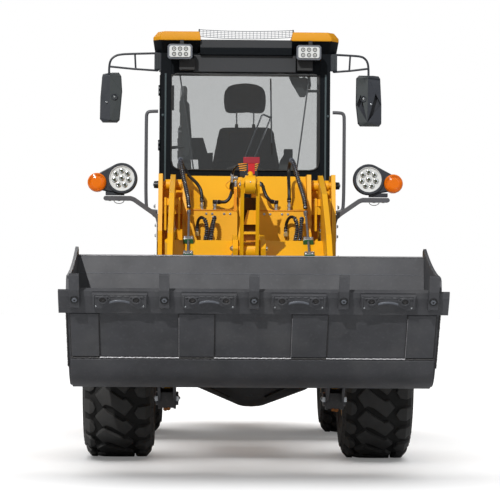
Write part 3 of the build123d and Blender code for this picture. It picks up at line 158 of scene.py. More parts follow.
def glow(name, colour, strength, base):
    """A lamp part with a little light of its own."""
    t = Tree(name)
    t.bsdf.inputs["Base Color"].default_value = base
    t.bsdf.inputs["Roughness"].default_value = 0.15
    t.bsdf.inputs["Emission Color"].default_value = colour
    t.bsdf.inputs["Emission Strength"].default_value = strength
    return t.mat


def clear(name, colour, rough, veil):
    """Clear sheet: light passes tinted by colour, with a pale veil of painted light (a faint glow) and a skin that
    mirrors more at a slant.
    """
    t = Tree(name)
    t.bsdf.inputs["Base Color"].default_value = (0.8, 0.8, 0.8, 1)
    t.bsdf.inputs["Roughness"].default_value = rough
    through = t.add("ShaderNodeBsdfTransparent", {"Color": colour})
    skin = t.add("ShaderNodeBsdfGlossy", {"Color": (0.9, 0.9, 0.9, 1), "Roughness": rough})
    # Painted light: a faint pale glow mixed in as a veil over what is seen through the sheet.
    painted_glow_veil = t.add("ShaderNodeEmission", {"Color": (0.75, 0.77, 0.78, 1), "Strength": 0.85})
    slant = t.add("ShaderNodeLayerWeight", {"Blend": 0.5}).outputs["Facing"]
    fac = t.math("ADD", t.math("MULTIPLY", t.math("POWER", slant, 5.0), 0.8), 0.015, True)
    veiled = t.add("ShaderNodeMixShader", {0: veil}, {1: through.outputs[0], 2: painted_glow_veil.outputs[0]})
    mixed = t.add("ShaderNodeMixShader", links={0: fac, 1: veiled.outputs[0], 2: skin.outputs[0]})
    t.link(mixed.outputs[0], t.out.inputs["Surface"])
    return t.mat


yellow_rgb = srgb(238, 174, 16)
M = {
    "yellow": surface("yellow_paint", yellow_rgb, 0.38, gloss_level=0.35, vary=0.05, coat=0.12,
                      wear=srgb(205, 120, 10), wear_amount=0.25),
    "yellow_soft": surface("yellow_moulding", srgb(236, 172, 34), 0.48, vary=0.04, grain=0.3, grain_scale=500,
                           gloss_level=0.35),
    "roof": surface("roof_moulding", srgb(214, 146, 14), 0.5, vary=0.04, grain=0.3, grain_scale=500,
                    gloss_level=0.25),
    # A darker yellow: painted shade in the rocker's recess, and the colour of the cylinder stripes and small orange
    # parts.
    "orange_paint_and_shade": surface("shaded_paint", srgb(222, 142, 12), 0.42, vary=0.06),
    "bucket": surface("bucket_steel", srgb(72, 73, 77), 0.5, metal=0.2, vary=0.16, patch=6, grain=0.3,
                      wear=srgb(150, 152, 156), wear_amount=0.5, dust=srgb(104, 104, 104)),
    "edge": surface("edge_steel", srgb(58, 57, 58), 0.45, metal=0.3, vary=0.16, patch=10, wear=srgb(170, 160, 150)),
    # Bright steel for worn edges, also used as painted highlight on weld beads.
    "rim": surface("worn_and_highlit_rim", srgb(176, 176, 180), 0.4, metal=0.6, vary=0.2, patch=14),
    "black": surface("black_paint", srgb(24, 27, 31), 0.4, vary=0.15, coat=0.15, wear=srgb(70, 72, 76),
                     wear_amount=0.3),
    "dark": surface("dark_casting", srgb(44, 44, 46), 0.55, vary=0.2, grain=0.4, grain_scale=200),
    "plastic": surface("black_moulding", srgb(30, 31, 33), 0.55, vary=0.1, grain=0.5, grain_scale=600),
    "bracket": surface("grey_paint", srgb(78, 79, 84), 0.42, vary=0.08, wear=srgb(120, 120, 122), wear_amount=0.3),
    "tyre": surface("tyre_rubber", srgb(45, 45, 45), 0.66, vary=0.16, patch=9, grain=0.5, grain_scale=260,
                    dust=srgb(66, 64, 62), edge=0.004),
    "rubber": surface("hose_rubber", srgb(24, 23, 22), 0.42, vary=0.15, grain=0.3, grain_scale=900, edge=0.0005),
    "guard": surface("spiral_guard", srgb(22, 25, 32), 0.22, vary=0.1, coat=0.3, edge=0.0005),
    "steel": surface("zinc_steel", srgb(186, 190, 194), 0.28, metal=0.85, vary=0.12, grain=0.2, edge=0.001),
    "chrome": surface("chromed_rod", srgb(215, 217, 220), 0.12, metal=1.0, vary=0.03, grain=0.03, edge=0.0008),
    "brass": surface("brass_fitting", srgb(206, 178, 120), 0.3, metal=0.8, vary=0.1, edge=0.001),
    "green": surface("green_clamp", srgb(14, 92, 62), 0.5, vary=0.08, grain=0.3, grain_scale=700, edge=0.001),
    "red": surface("red_paint", srgb(190, 16, 26), 0.4, vary=0.05, edge=0.001),
    "dark_red": surface("deep_red_paint", srgb(150, 24, 42), 0.42, vary=0.05, edge=0.001),
    "fabric": surface("seat_cloth", srgb(58, 60, 63), 0.85, vary=0.08, patch=30, grain=0.9, grain_scale=900,
                      sheen=0.3, edge=0.003),
    "grey_panel": surface("grey_panel", srgb(56, 58, 61), 0.5, gloss_level=0.25, vary=0.05, grain=0.3,
                          grain_scale=500),
    "engine": surface("engine_casting", srgb(96, 98, 100), 0.5, metal=0.5, vary=0.2, grain=0.5, grain_scale=120),
    "iron": surface("counterweight_iron", srgb(205, 135, 14), 0.5, vary=0.08, grain=0.8, grain_scale=90),
    "wire": surface("dark_wire", srgb(74, 84, 98), 0.4, vary=0.05, edge=0.0005),
    "reflector": surface("lamp_reflector", srgb(235, 238, 240), 0.12, metal=0.9, vary=0.02, grain=0.05, edge=0.001),
    "glass": clear("tinted_glass", (0.83, 0.835, 0.835, 1), 0.03, 0.03),
    "amber": glow("amber_lens", (1, 0.22, 0.004, 1), 0.06, (0.7, 0.15, 0.002, 1)),
    "tail": glow("red_lens", (0.8, 0.02, 0.02, 1), 0.15, (0.6, 0.01, 0.01, 1)),
    "cab": surface("cab_paint", srgb(9, 14, 19), 0.42, vary=0.12, wear=srgb(50, 56, 62), wear_amount=0.15,
                   gloss_level=0.12),
    # Painted reflection: a pale teal colour standing for the sheen on the black pillars.
    "pillar_sheen": surface("pillar_painted_sheen", srgb(58, 72, 76), 0.4, vary=0.1),
    "housing": surface("lamp_housing", srgb(38, 42, 50), 0.42, vary=0.1, grain=0.35, grain_scale=500),
    # Grey frame colour for lamps and pipes, also painted highlight lines on the bucket's edge plates.
    "grey_frame_and_highlight": surface("grey_frame_and_highlight", srgb(104, 108, 116), 0.38, metal=0.3, vary=0.08),
    "lamp_white": glow("lamp_panel", (1, 1, 1, 1), 0.03, (0.66, 0.68, 0.68, 1)),
    "lamp_dark": surface("lamp_shadow", srgb(58, 60, 64), 0.4, vary=0.05, edge=0.0005),
    "lamp_speck": surface("lamp_speck", srgb(120, 118, 92), 0.25, metal=0.5, vary=0.1, edge=0.0005),
    "lamp_green": surface("lamp_core", srgb(76, 82, 52), 0.3, metal=0.3, vary=0.2, edge=0.0005),
    "wiper_grey": surface("wiper_arm", srgb(72, 76, 80), 0.35, metal=0.3, vary=0.1, edge=0.0005),
    # Grey moulding inside the cab, also the paler painted-light side of the mirror housings.
    "inside_grey_and_lit_side": surface("cab_moulding", srgb(52, 58, 60), 0.6, vary=0.06, grain=0.4, grain_scale=500),
    "guard_highlight": surface("guard_highlight_coil", srgb(112, 118, 132), 0.25, vary=0.1, coat=0.5, edge=0.0004),
    # Painted shade: dark brown standing for shadow in recesses and slots.
    "recess_shade": surface("shaded_recess", srgb(96, 66, 22), 0.7, vary=0.1),
    "shade": surface("shaded_yellow", srgb(226, 160, 10), 0.5, vary=0.05),
    "rusty": surface("rusty_bolt", srgb(150, 92, 40), 0.6, metal=0.3, vary=0.3, patch=40),
    # Painted shade: darker rubber for the groove floors between tread blocks.
    "groove_shade": surface("tyre_groove", srgb(16, 16, 16), 0.8, vary=0.15, patch=9, grain=0.5, grain_scale=260),
    "mirror": surface("mirror_glass", (0.85, 0.87, 0.9, 1), 0.03, metal=1.0, vary=0.0, grain=0.0, edge=0.001),
}


# ---------------------------------------------------------------- Mesh helpers
class Shape:
    """Gathers simple solids into one mesh, each face with its material's number."""

    def __init__(self):
        self.bm = bmesh.new()

    def faces(self, points, faces, m=0):
        """Adds points and the faces between them."""
        verts = [self.bm.verts.new(p) for p in points]
        for face in faces:
            self.bm.faces.new([verts[i] for i in face]).material_index = m
        return verts

    def box(self, x, y, z, m=0):
        """A box from its two limits along each axis."""
        points = [(a, b, c) for a in sorted(x) for b in sorted(y) for c in sorted(z)]
        self.faces(points, [(0, 1, 3, 2), (4, 6, 7, 5), (0, 4, 5, 1), (2, 3, 7, 6), (0, 2, 6, 4), (1, 5, 7, 3)], m)

    def prism(self, lower, upper, m=0):
        """A solid between two outlines with the same number of points."""
        n = len(lower)
        sides = [(i, (i + 1) % n, n + (i + 1) % n, n + i) for i in range(n)]
        self.faces(list(lower) + list(upper), [tuple(range(n))[::-1], tuple(range(n, 2 * n))] + sides, m)

    def round(self, a, b, r, r2=None, n=24, m=0):
        """A round bar from a to b, or a cone."""
        a, b = Vector(a), Vector(b)
        r2 = r if r2 is None else r2
        side, up = frame_across(b - a)
        ring = circle(n)
        self.prism([a + (side * c + up * s) * r for c, s in ring], [b + (side * c + up * s) * r2 for c, s in ring], m)

    def ring(self, a, b, r, inner, n=32, m=0):
        """A round collar with a hole."""
        a, b = Vector(a), Vector(b)
        side, up = frame_across(b - a)
        points = []
        for end, radius in ((a, r), (b, r), (b, inner), (a, inner)):
            points += [end + (side * c + up * s) * radius for c, s in circle(n)]
        faces = [(k * n + i, k * n + (i + 1) % n, ((k + 1) % 4) * n + (i + 1) % n, ((k + 1) % 4) * n + i)
                 for k in range(4) for i in range(n)]
        self.faces(points, faces, m)

    def bolt(self, at, out, r=0.009, m=0, washer=True):
        """A hexagon head on a washer."""
        at, out = Vector(at), Vector(out).normalized()
        if washer:
            self.round(at, at + out * r * 0.25, r * 1.35, n=16, m=m)
        self.round(at + out * r * 0.2, at + out * r * 0.95, r, r * 0.94, n=6, m=m)

    def tube(self, path, r, n=12, m=0, closed=False):
        """A round tube that follows a list of points."""
        path = [Vector(p) for p in path]
        count = len(path)
        rings, up = [], None
        for i, p in enumerate(path):
            ahead = path[(i + 1) % count] if closed or i + 1 < count else p
            behind = path[i - 1] if closed or i else p
            along = (ahead - behind).normalized()
            if up is None:
                up = frame_across(along)[1]
            up = (up - along * up.dot(along)).normalized()
            side = up.cross(along)
            rings += [p + (side * c + up * s) * r for c, s in circle(n)]
        spans = count if closed else count - 1
        faces = [(i * n + k, i * n + (k + 1) % n, ((i + 1) % count) * n + (k + 1) % n, ((i + 1) % count) * n + k)
                 for i in range(spans) for k in range(n)]
        if not closed:
            faces += caps(spans, n)
        self.faces(rings, faces, m)

    def slab(self, outline, y0, y1, m=0):
        """A flat piece from an (x, z) outline between two depths."""
        self.prism([(x, y0, z) for x, z in outline], [(x, y1, z) for x, z in outline], m)

    def revolve(self, profile, centre, n=64, m=0):
        """A closed profile of (x, radius) turned round the X axis through centre."""
        centre = Vector(centre)
        k = len(profile)
        points = [centre + Vector((x, r * c, r * s)) for c, s in circle(n) for x, r in profile]
        faces = [(i * k + j, i * k + (j + 1) % k, ((i + 1) % n) * k + (j + 1) % k, ((i + 1) % n) * k + j)
                 for i in range(n) for j in range(k)]
        self.faces(points, faces, m)

    def done(self, name, body, materials, slot, bevel=0.0, segments=2, smooth=35, replaces=()):
        """Makes the object: materials, rounded edges, its body and the nodes it stands for; slot is not used."""
        bm = self.bm
        bmesh.ops.recalc_face_normals(bm, faces=bm.faces)
        mesh = bpy.data.meshes.new(name)
        bm.to_mesh(mesh)
        bm.free()
        for material in materials:
            mesh.materials.append(M[material])
        obj = bpy.data.objects.new(name, mesh)
        bpy.context.scene.collection.objects.link(obj)
        mesh.polygons.foreach_set("use_smooth", [True] * len(mesh.polygons))
        mesh.set_sharp_from_angle(angle=radians(smooth))
        if bevel:
            modifier = obj.modifiers.new("bevel", "BEVEL")
            modifier.width = bevel
            modifier.segments = segments
            modifier.limit_method = "ANGLE"
            modifier.angle_limit = radians(30)
            modifier.harden_normals = False
        if body:
            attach(obj, body)
        if replaces:
            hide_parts(*replaces)
        return obj


def loft(spans, n):
    """Faces between rings of n points, over a number of spans."""
    return [(i * n + k, i * n + (k + 1) % n, (i + 1) * n + (k + 1) % n, (i + 1) * n + k)
            for i in range(spans) for k in range(n)]


def caps(spans, n):
    """The two end faces of rings joined over a number of spans."""
    return [tuple(range(n))[::-1], tuple(range(spans * n, (spans + 1) * n))]


def circle(n):
    """Cosine and sine of n even steps round a turn."""
    return [(cos(tau * i / n), sin(tau * i / n)) for i in range(n)]


def frame_across(along):
    """Two directions square to a direction."""
    along = Vector(along).normalized()
    side = along.cross(Vector((0, 0, 1)) if abs(along.z) < 0.9 else Vector((0, 1, 0))).normalized()
    return side, side.cross(along)


def spline(points, steps=8):
    """Points along the smooth NURBS curve of a route."""
    data = bpy.data.curves.new("route", "CURVE")
    data.dimensions = "3D"
    data.resolution_u = steps
    line = data.splines.new("NURBS")
    line.points.add(len(points) - 1)
    for point, place in zip(line.points, points):
        point.co = (*place, 1)
    line.order_u = 3
    line.use_endpoint_u = True
    obj = bpy.data.objects.new("route", data)
    mesh = bpy.data.meshes.new_from_object(obj)
    out = [v.co.copy() for v in mesh.vertices]
    bpy.data.objects.remove(obj)
    bpy.data.meshes.remove(mesh)
    bpy.data.curves.remove(data)
    return out


def resample(path, step):
    """Evenly spaced points along a list of points, with their distances."""
    lengths = [0]
    for a, b in zip(path, path[1:]):
        lengths.append(lengths[-1] + (b - a).length)
    count = max(2, int(lengths[-1] / step) + 1)
    out, i = [], 0
    for k in range(count):
        at = lengths[-1] * k / (count - 1)
        while i < len(path) - 2 and lengths[i + 1] < at:
            i += 1
        share = (at - lengths[i]) / max(1e-9, lengths[i + 1] - lengths[i])
        out.append(path[i].lerp(path[i + 1], share))
    return out


def coil(path, radius, pitch, per_turn=10):
    """A helix wound round a path."""
    fine = resample(path, pitch / per_turn)
    out, up = [], None
    for i, p in enumerate(fine):
        along = (fine[min(i + 1, len(fine) - 1)] - fine[max(i - 1, 0)]).normalized()
        if up is None:
            up = frame_across(along)[1]
        up = (up - along * up.dot(along)).normalized()
        side = up.cross(along)
        turn = tau * i / per_turn
        out.append(p + (side * cos(turn) + up * sin(turn)) * radius)
    return out


# ---------------------------------------------------------------- CAD nodes
finish = {
    "bucket": ["bucket", "bucket_teeth"],
    "edge": ["edge_segments"],
    "black": ["cab_frame", "cab_door_left", "cab_door_right", "grab_rails", "exhaust_stack", "cab_steps",
              "side_tanks", "front_axle", "rear_axle", "mirrors"],
    "dark": ["cab_floor"],
    "plastic": ["front_fenders", "rear_fenders", "console", "steering_wheel", "seat_base", "work_lights",
                "headlights"],
    "bracket": ["headlight_brackets"],
    "glass": ["cab_glass", "door_glass_left", "door_glass_right"],
    "yellow_soft": ["valve_cover", "cab_roof"],
    "engine": ["engine_block"],
    "iron": ["counterweight"],
    "fabric": ["seat_cushion", "seat_back"],
    "chrome": ["tilt_rod", "lift_rods", "steer_rod_left", "steer_rod_right"],
    "steel": ["boom_pipes", "hose_fittings"],
    "rubber": ["boom_hoses", "tilt_hoses", "face_hoses"],
    "red": ["level_indicator"],
    "tyre": ["tyre_front_left", "tyre_front_right", "tyre_rear_left", "tyre_rear_right"],
}
node_finish = {node: name for name, members in finish.items() for node in members}
for node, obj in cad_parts.items():
    material = M[node_finish.get(node, "yellow")]
    if not obj.data.materials:
        obj.data.materials.append(material)
    for slot in obj.material_slots:
        slot.material = material


# ---------------------------------------------------------------- Tyres and wheels
FRONT_Y, REAR_Y = -0.8, 1.5
TYRE_R, AXLE_Z, TRACK = 0.47, 0.47, 0.723
ROUND_STEPS = 88
TREAD_HALF, TREAD_DEPTH, PITCHES = 0.154, 0.021, 22
BEAD_R, BEAD_HALF = 0.235, 0.165


def tread_radius(x):
    """Radius of the tread's outer surface across the tyre."""
    x = abs(x)
    if x < TREAD_HALF:
        return TYRE_R - 0.5 * 0.006 * (x / TREAD_HALF) ** 2 - 0.001
    return TYRE_R - 0.004 - (x - TREAD_HALF) * 1.15


def tread_block(outline, chamfer=0.004):
    """Points and faces of one block, bent round the tyre; outline is (across, along) in millimetres."""
    bm = bmesh.new()
    low = [bm.verts.new((x / 1000, s / 1000, -TREAD_DEPTH - 0.004)) for x, s in outline]
    face = bm.faces.new(low)
    top = bmesh.ops.extrude_face_region(bm, geom=[face])["geom"]
    for v in top:
        if isinstance(v, bmesh.types.BMVert):
            v.co.z = 0
            middle = sum((Vector((x, s, 0)) for x, s in outline), Vector()) / len(outline) / 1000
            v.co.xy = middle.xy + (v.co.xy - middle.xy) * 0.95
    bmesh.ops.recalc_face_normals(bm, faces=bm.faces)
    bm.edges.ensure_lookup_table()
    sharp = [e for e in bm.edges if e.calc_length() > 0 and len(e.link_faces) == 2
             and e.calc_face_angle(0) > radians(25) and any(v.co.z > -0.001 for v in e.verts)]
    bmesh.ops.bevel(bm, geom=sharp, offset=chamfer, segments=2, affect="EDGES", profile=0.6, clamp_overlap=True)
    for across in (-0.154, -0.1, -0.05, 0, 0.05, 0.1, 0.154):
        bmesh.ops.bisect_plane(bm, geom=bm.verts[:] + bm.edges[:] + bm.faces[:], plane_co=(across, 0, 0),
                               plane_no=(1, 0, 0))
    for along in range(-4, 5):
        bmesh.ops.bisect_plane(bm, geom=bm.verts[:] + bm.edges[:] + bm.faces[:], plane_co=(0, along * 0.025, 0),
                               plane_no=(0, 1, 0))
    bmesh.ops.triangulate(bm, faces=bm.faces[:])
    bm.verts.index_update()
    points = [v.co.copy() for v in bm.verts]
    faces = [[v.index for v in f.verts] for f in bm.faces]
    bm.free()
    return points, faces


centre_block = [(-125, -33), (-74, -92), (-50, -66), (33, -6), (56, -14), (91, 33), (45, 96), (-30, 36), (-66, 22),
                (-84, 36)]
inner_block = [(92, 0), (114, -38), (150, -43), (183, -40), (183, 40), (150, 43), (114, 38)]
outer_block = [(-120, 4), (-130, -26), (-150, -42), (-183, -40), (-183, 43), (-150, 45), (-130, 34)]
blocks = [(tread_block(centre_block), 0.0), (tread_block(inner_block), -60.0), (tread_block(outer_block), 38.0)]

carcass = [(BEAD_HALF, BEAD_R + 0.001), (BEAD_HALF + 0.001, BEAD_R + 0.02), (0.178, 0.262), (0.188, 0.29),
           (0.194, 0.32), (0.1955, 0.35), (0.194, 0.38), (0.19, 0.402), (0.186, 0.41), (0.178, 0.425), (0.16, 0.441),
           (0.12, 0.448), (0.06, 0.4505), (0, 0.451)]
carcass_loop = carcass + [(-x, r) for x, r in reversed(carcass[:-1])]
inner_loop = [(-0.141, BEAD_R + 0.001), (-0.165, 0.3), (-0.171, 0.35), (-0.165, 0.405), (-0.13, 0.434),
              (0.13, 0.434), (0.165, 0.405), (0.171, 0.35), (0.165, 0.3), (0.141, BEAD_R + 0.001)]


def make_tyre(name, centre, node, body):
    """A carcass with side skins, raised rings, three kinds of tread block and shoulder bars."""
    shape = Shape()
    centre = Vector(centre)
    # The carcass, seen between the tread blocks, takes a darker rubber as painted shade in the grooves.
    shape.revolve(carcass_loop + inner_loop, centre, n=ROUND_STEPS, m=1)
    side_wall = [(x, r) for x, r in carcass if r < 0.427]
    for side in (-1, 1):
        outside = [(side * (x + 0.0006), r + 0.0003) for x, r in side_wall]
        under = [(side * (x - 0.003), r - 0.001) for x, r in side_wall[::-1]]
        shape.revolve(outside + under, centre, n=ROUND_STEPS)
    for radius, x, size in ((0.3, 0.1905, 0.0035), (0.336, 0.195, 0.0025), (0.392, 0.1915, 0.0035)):
        for side in (-1, 1):
            ring = [centre + Vector((side * x, radius * c, radius * s)) for c, s in circle(ROUND_STEPS)]
            shape.tube(ring, size, n=6, closed=True)
    for (points, faces), shift in blocks:
        for k in range(PITCHES):
            turned = []
            for p in points:
                angle = (p.y + shift / 1000) / TYRE_R + tau * k / PITCHES
                radius = tread_radius(p.x) + p.z
                turned.append(centre + Vector((p.x, -radius * cos(angle), -radius * sin(angle))))
            shape.faces(turned, faces)
    for k in range(PITCHES * 2):
        angle = tau * k / PITCHES / 2
        for side in (-1, 1):
            a = centre + Vector((side * 0.187, -0.405 * cos(angle), -0.405 * sin(angle)))
            b = centre + Vector((side * 0.1935, -0.372 * cos(angle), -0.372 * sin(angle)))
            shape.round(a, b, 0.007, 0.003, n=6)
    shape.done(name, body, ["tyre", "groove_shade"], "tyre", smooth=30, replaces=[node])


for row, y in (("front", FRONT_Y), ("rear", REAR_Y)):
    for hand, side in (("left", 1), ("right", -1)):
        body = f"wheel_{row}_{hand}"
        x = side * TRACK
        make_tyre(f"treaded_{row}_{hand}", (x, y, AXLE_Z), f"tyre_{row}_{hand}", body)
        nuts = Shape()
        face = x + side * 0.0635
        for k in range(10):
            angle = tau * k / 10
            at = Vector((face, y + 0.135 * cos(angle), AXLE_Z + 0.135 * sin(angle)))
            nuts.bolt(at, (side, 0, 0), 0.0135)
            nuts.round(at + Vector((side * 0.012, 0, 0)), at + Vector((side * 0.026, 0, 0)), 0.008, n=12)
        nuts.round((face, y, AXLE_Z), (face + side * 0.03, y, AXLE_Z), 0.095, 0.088, n=48, m=1)
        nuts.round((face + side * 0.028, y, AXLE_Z), (face + side * 0.052, y, AXLE_Z), 0.06, 0.052, n=40, m=1)
        for k in range(6):
            angle = tau * (k + 0.5) / 6
            nuts.bolt((face + side * 0.03, y + 0.075 * cos(angle), AXLE_Z + 0.075 * sin(angle)), (side, 0, 0), 0.007)
        nuts.tube([(face + side * 0.002, y + 0.19, AXLE_Z - 0.03), (face + side * 0.03, y + 0.19, AXLE_Z - 0.03)],
                  0.006, m=2)
        nuts.done(f"wheel_nuts_{row}_{hand}", body, ["steel", "yellow", "rubber"], "steel", bevel=0.0015)

# ---------------------------------------------------------------- Bucket details
HEEL, ROLL = (-2.13, 0.47), radians(52.5)
PIN_Y, PIN_Z = -1.84, 0.385
PITCH = 0.4445  # between teeth


def in_bucket(x, a, b):
    """A point from the bucket's own frame: a along its floor, b square to it, in metres."""
    forward = a * cos(ROLL) - b * sin(ROLL)
    return Vector((x, HEEL[0] - forward, HEEL[1] + a * sin(ROLL) + b * cos(ROLL)))


down = in_bucket(0, 0, -1) - in_bucket(0, 0, 0)


def bucket_plate(shape, x, outline, m=0):
    """A plate across x from an (a, b) outline."""
    shape.prism([in_bucket(x[0], a, b) for a, b in outline], [in_bucket(x[1], a, b) for a, b in outline], m)


plates = Shape()
wedge = [(0.186, -0.0005), (0.466, -0.0005), (0.462, -0.009), (0.19, -0.009)]
for x0, x1 in ((-0.915, -0.775), (-0.372, -0.196), (0.196, 0.372), (0.775, 0.915)):
    bucket_plate(plates, (x0, x1), wedge)
arc, outer = ([(0.105 + r * cos(radians(t)), 0.24 + r * sin(radians(t))) for t in range(-90, -155, -6)]
              for r in (0.2405, 0.2495))
bucket_plate(plates, (-0.922, 0.922), [(0.176, -0.0005)] + arc + outer[::-1] + [(0.17, -0.0095)])
plates.done("wear_plates", "bucket", ["bucket"], "grey", bevel=0.002)

weld = Shape()


def bead(a, b, size=0.0042, seed=0):
    """A weld bead: a rippled tube from a to b."""
    a, b = Vector(a), Vector(b)
    count = max(6, int((b - a).length / 0.007))
    side, up = frame_across(b - a)
    points, n = [], 7
    for i in range(count + 1):
        centre = a.lerp(b, i / count) + up * 0.0008 * sin(i * 1.3 + seed)
        r = size * (1 + 0.16 * sin(i * 2.4 + seed) + 0.08 * sin(i * 0.9))
        points += [centre + (side * c + up * s) * r for c, s in circle(n)]
    weld.faces(points, loft(count, n) + caps(count, n))


bead(in_bucket(-0.92, 0.178, -0.004), in_bucket(0.92, 0.178, -0.004), 0.0055)
for x in (-0.916, -0.774, -0.373, -0.195, 0.195, 0.373, 0.774, 0.916):
    bead(in_bucket(x, 0.186, -0.003), in_bucket(x, 0.462, -0.003), 0.0035, x * 9)
bead(in_bucket(-0.93, 0.474, -0.006), in_bucket(0.93, 0.474, -0.006), 0.0055, 2)
for side in (-1, 1):
    bead(in_bucket(side * 0.918, 0.11, 0.014), in_bucket(side * 0.918, 0.6, 0.014), 0.005, side)
    bead(in_bucket(side * 0.934, 0.12, -0.002), in_bucket(side * 0.934, 0.56, -0.002), 0.0045, side)
weld.done("bucket_welds", "bucket", ["edge"], "grey", smooth=60)
# Painted highlight: the weld beads between the pads take the bright rim colour to stand for their glint.
weld = Shape()
for x0, x1 in ((-0.774, -0.373), (-0.195, 0.195), (0.373, 0.774)):
    bead(in_bucket(x0, 0.1815, -0.0075), in_bucket(x1, 0.1815, -0.0075), 0.0036, x0)
for x in (-0.373, 0.195, 0.774):
    bead(in_bucket(x, 0.186, -0.0075), in_bucket(x, 0.44, -0.0075), 0.0012, x)
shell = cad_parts["bucket"]
to_shell = shell.matrix_world.inverted()
seam = []
for x in (-0.905, -0.45, 0, 0.45, 0.905):
    start = to_shell @ Vector((x, -2.2, 1.04))
    found, hit, *_ = shell.ray_cast(start, (to_shell.to_3x3() @ Vector((0, 1, 0))).normalized())
    if found:
        seam.append(shell.matrix_world @ hit)
weld.done("bright_welds", "bucket", ["rim"], "grey", smooth=60)
weld = Shape()
for a, b in zip(seam, seam[1:]):
    bead(a, b, 0.0014)
weld.done("inner_seam", "bucket", ["grey_frame_and_highlight"], "grey", smooth=60)

segments, bolts = Shape(), Shape()


def layer(middle, outline, near, far, m=0):
    """A flat layer of the edge plates: an (x, a) outline between two depths under the floor."""
    segments.prism([in_bucket(middle + x, a, -near) for x, a in outline],
                   [in_bucket(middle + x, a, -far) for x, a in outline], m)


half_edge = [(-0.13, 0.606), (-0.137, 0.606), (-0.137, 0.551), (-0.137, 0.531), (-0.128, 0.519), (-0.112, 0.5165),
             (-0.092, 0.5175), (-0.072, 0.529), (-0.05, 0.542), (-0.025, 0.55)]
outline = half_edge + [(0, 0.5525)] + [(-x, a) for x, a in half_edge[::-1]]
FACE = 0.0335
for k in (-1.5, -0.5, 0.5, 1.5):
    middle = k * PITCH
    layer(middle, outline, 0.0184, 0.0345)
    # Painted highlight: a short band along the middle of the arch and two small dashes take a paler grey.
    arch = outline[8:13]
    band = [(x, a + 0.009) for x, a in arch] + [(x, a + 0.0195) for x, a in reversed(arch)]
    layer(middle, band, FACE, 0.0395, 1)
    for side in (-1, 1):
        rib = [(side * 0.132, 0.524), (side * 0.132, 0.598), (side * 0.124, 0.598), (side * 0.124, 0.524)]
        layer(middle, rib, FACE, 0.039)
        top = [(side * 0.12, 0.594), (side * 0.055, 0.594), (side * 0.055, 0.588), (side * 0.12, 0.588)]
        layer(middle, top, FACE, 0.039)
        dash = [(side * 0.096, 0.5935), (side * 0.074, 0.5935), (side * 0.074, 0.5895), (side * 0.096, 0.5895)]
        layer(middle, dash, 0.0385, 0.0405, 1)
        slant = [(side * 0.052, 0.586), (side * 0.045, 0.582), (side * 0.066, 0.548), (side * 0.073, 0.552)]
        layer(middle, slant, FACE, 0.0385)
        centre = in_bucket(middle + side * 0.083, 0.574, 0)
        segments.ring(centre + down * FACE, centre + down * 0.0425, 0.024, 0.0165, n=28)
        bolts.round(centre + down * 0.03, centre + down * 0.0385, 0.0155, 0.0145, n=20)
        bolts.ring(centre + down * 0.038, centre + down * 0.0405, 0.0105, 0.006, n=6)
        dot = in_bucket(middle + side * 0.118, 0.531, 0)
        bolts.round(dot + down * FACE, dot + down * 0.037, 0.0055, 0.004, n=12, m=1)
    for x in (-0.035, 0, 0.035):
        dash = [(x - 0.012, 0.5965), (x + 0.012, 0.5965), (x + 0.012, 0.591), (x - 0.012, 0.591)]
        layer(middle, dash, FACE, 0.037)
segments.done("edge_plates", "bucket", ["bucket", "grey_frame_and_highlight"], "grey", bevel=0.0015, replaces=["edge_segments"])
for k in (-2, -1, 0, 1, 2):
    centre = in_bucket(k * PITCH, 0.581, 0)
    bolts.ring(centre + down * 0.046, centre + down * 0.0505, 0.022, 0.0145, n=28, m=2)
    bolts.round(centre + down * 0.046, centre + down * 0.0525, 0.015, 0.014, n=6, m=3)
    bolts.round(centre + down * 0.0522, centre + down * 0.0532, 0.0055, n=12, m=2)
bolts.done("bucket_bolts", "bucket", ["edge", "steel", "plastic", "grey_frame_and_highlight"], "grey", bevel=0.0008)

# A bright strip along the lip's top edge: worn metal and painted highlight.
rim = Shape()
bucket_plate(rim, (-0.915, 0.915), [(0.257, 0.735), (0.259, 0.7445), (0.274, 0.7425), (0.2745, 0.733)])
rim.done("bucket_rim", "bucket", ["rim"], "grey", bevel=0.001)
pins = Shape()
for side in (-1, 1):
    for cheek in (-1, 1):
        x = side * 0.438 + cheek * 0.0475
        pins.round((x, PIN_Y, PIN_Z), (x + cheek * 0.012, PIN_Y, PIN_Z), 0.036, n=32)
        pins.box((x, x + cheek * 0.016), (-1.885, -1.795), (0.372, 0.398), m=1)
        pins.bolt((x + cheek * 0.014, -1.8, PIN_Z), (cheek, 0, 0), 0.008, m=1)
pins.done("bucket_pins", "bucket", ["bracket", "steel"], "steel", bevel=0.0015)

# ---------------------------------------------------------------- Hoses
RIDGE = Vector((0, -0.45, 1.42))
HOSE_R = 0.01


def from_ridge(points):
    """Points in millimetres from the middle of the cover's front edge."""
    return [RIDGE + Vector(p) / 1000 for p in points]


boom_routes = [
    from_ridge([(-266, 16, 50.3), (-266, 16, 106), (-289, 44, 155), (-315, 86, 188), (-339, 131, 214),
                (-362, 167, 252), (-384, 162, 303), (-396, 118, 335), (-394, 64, 320), (-386, 31, 274),
                (-378, 16, 219), (-367, 3, 164), (-356, -17, 112), (-345, -36, 62), (-341.4, -47.3, 11.4)]),
    from_ridge([(247, 16, 50.3), (247, 16, 106), (246, 45, 155), (246, 91, 189), (247, 138, 220), (249, 169, 266),
                (253, 151, 317), (261, 102, 337), (271, 53, 314), (283, 28, 266), (295, 15, 212), (309, 1, 159),
                (324, -18, 107), (337, -37, 57), (340.4, -47.0, 11.3)]),
]
tilt_routes = [
    from_ridge([(-178, 5, 49), (-156, -13, 49), (-127, -24, 48), (-105, -19, 69), (-95, -4, 96), (-89, 13, 122),
                (-87, 36, 148), (-68, 58, 164)]),
    from_ridge([(158, 4, 51), (143, -13, 52), (116, -19, 76), (103, -6, 104), (95, 13, 130), (91, 37, 153),
                (70, 58, 165)]),
]
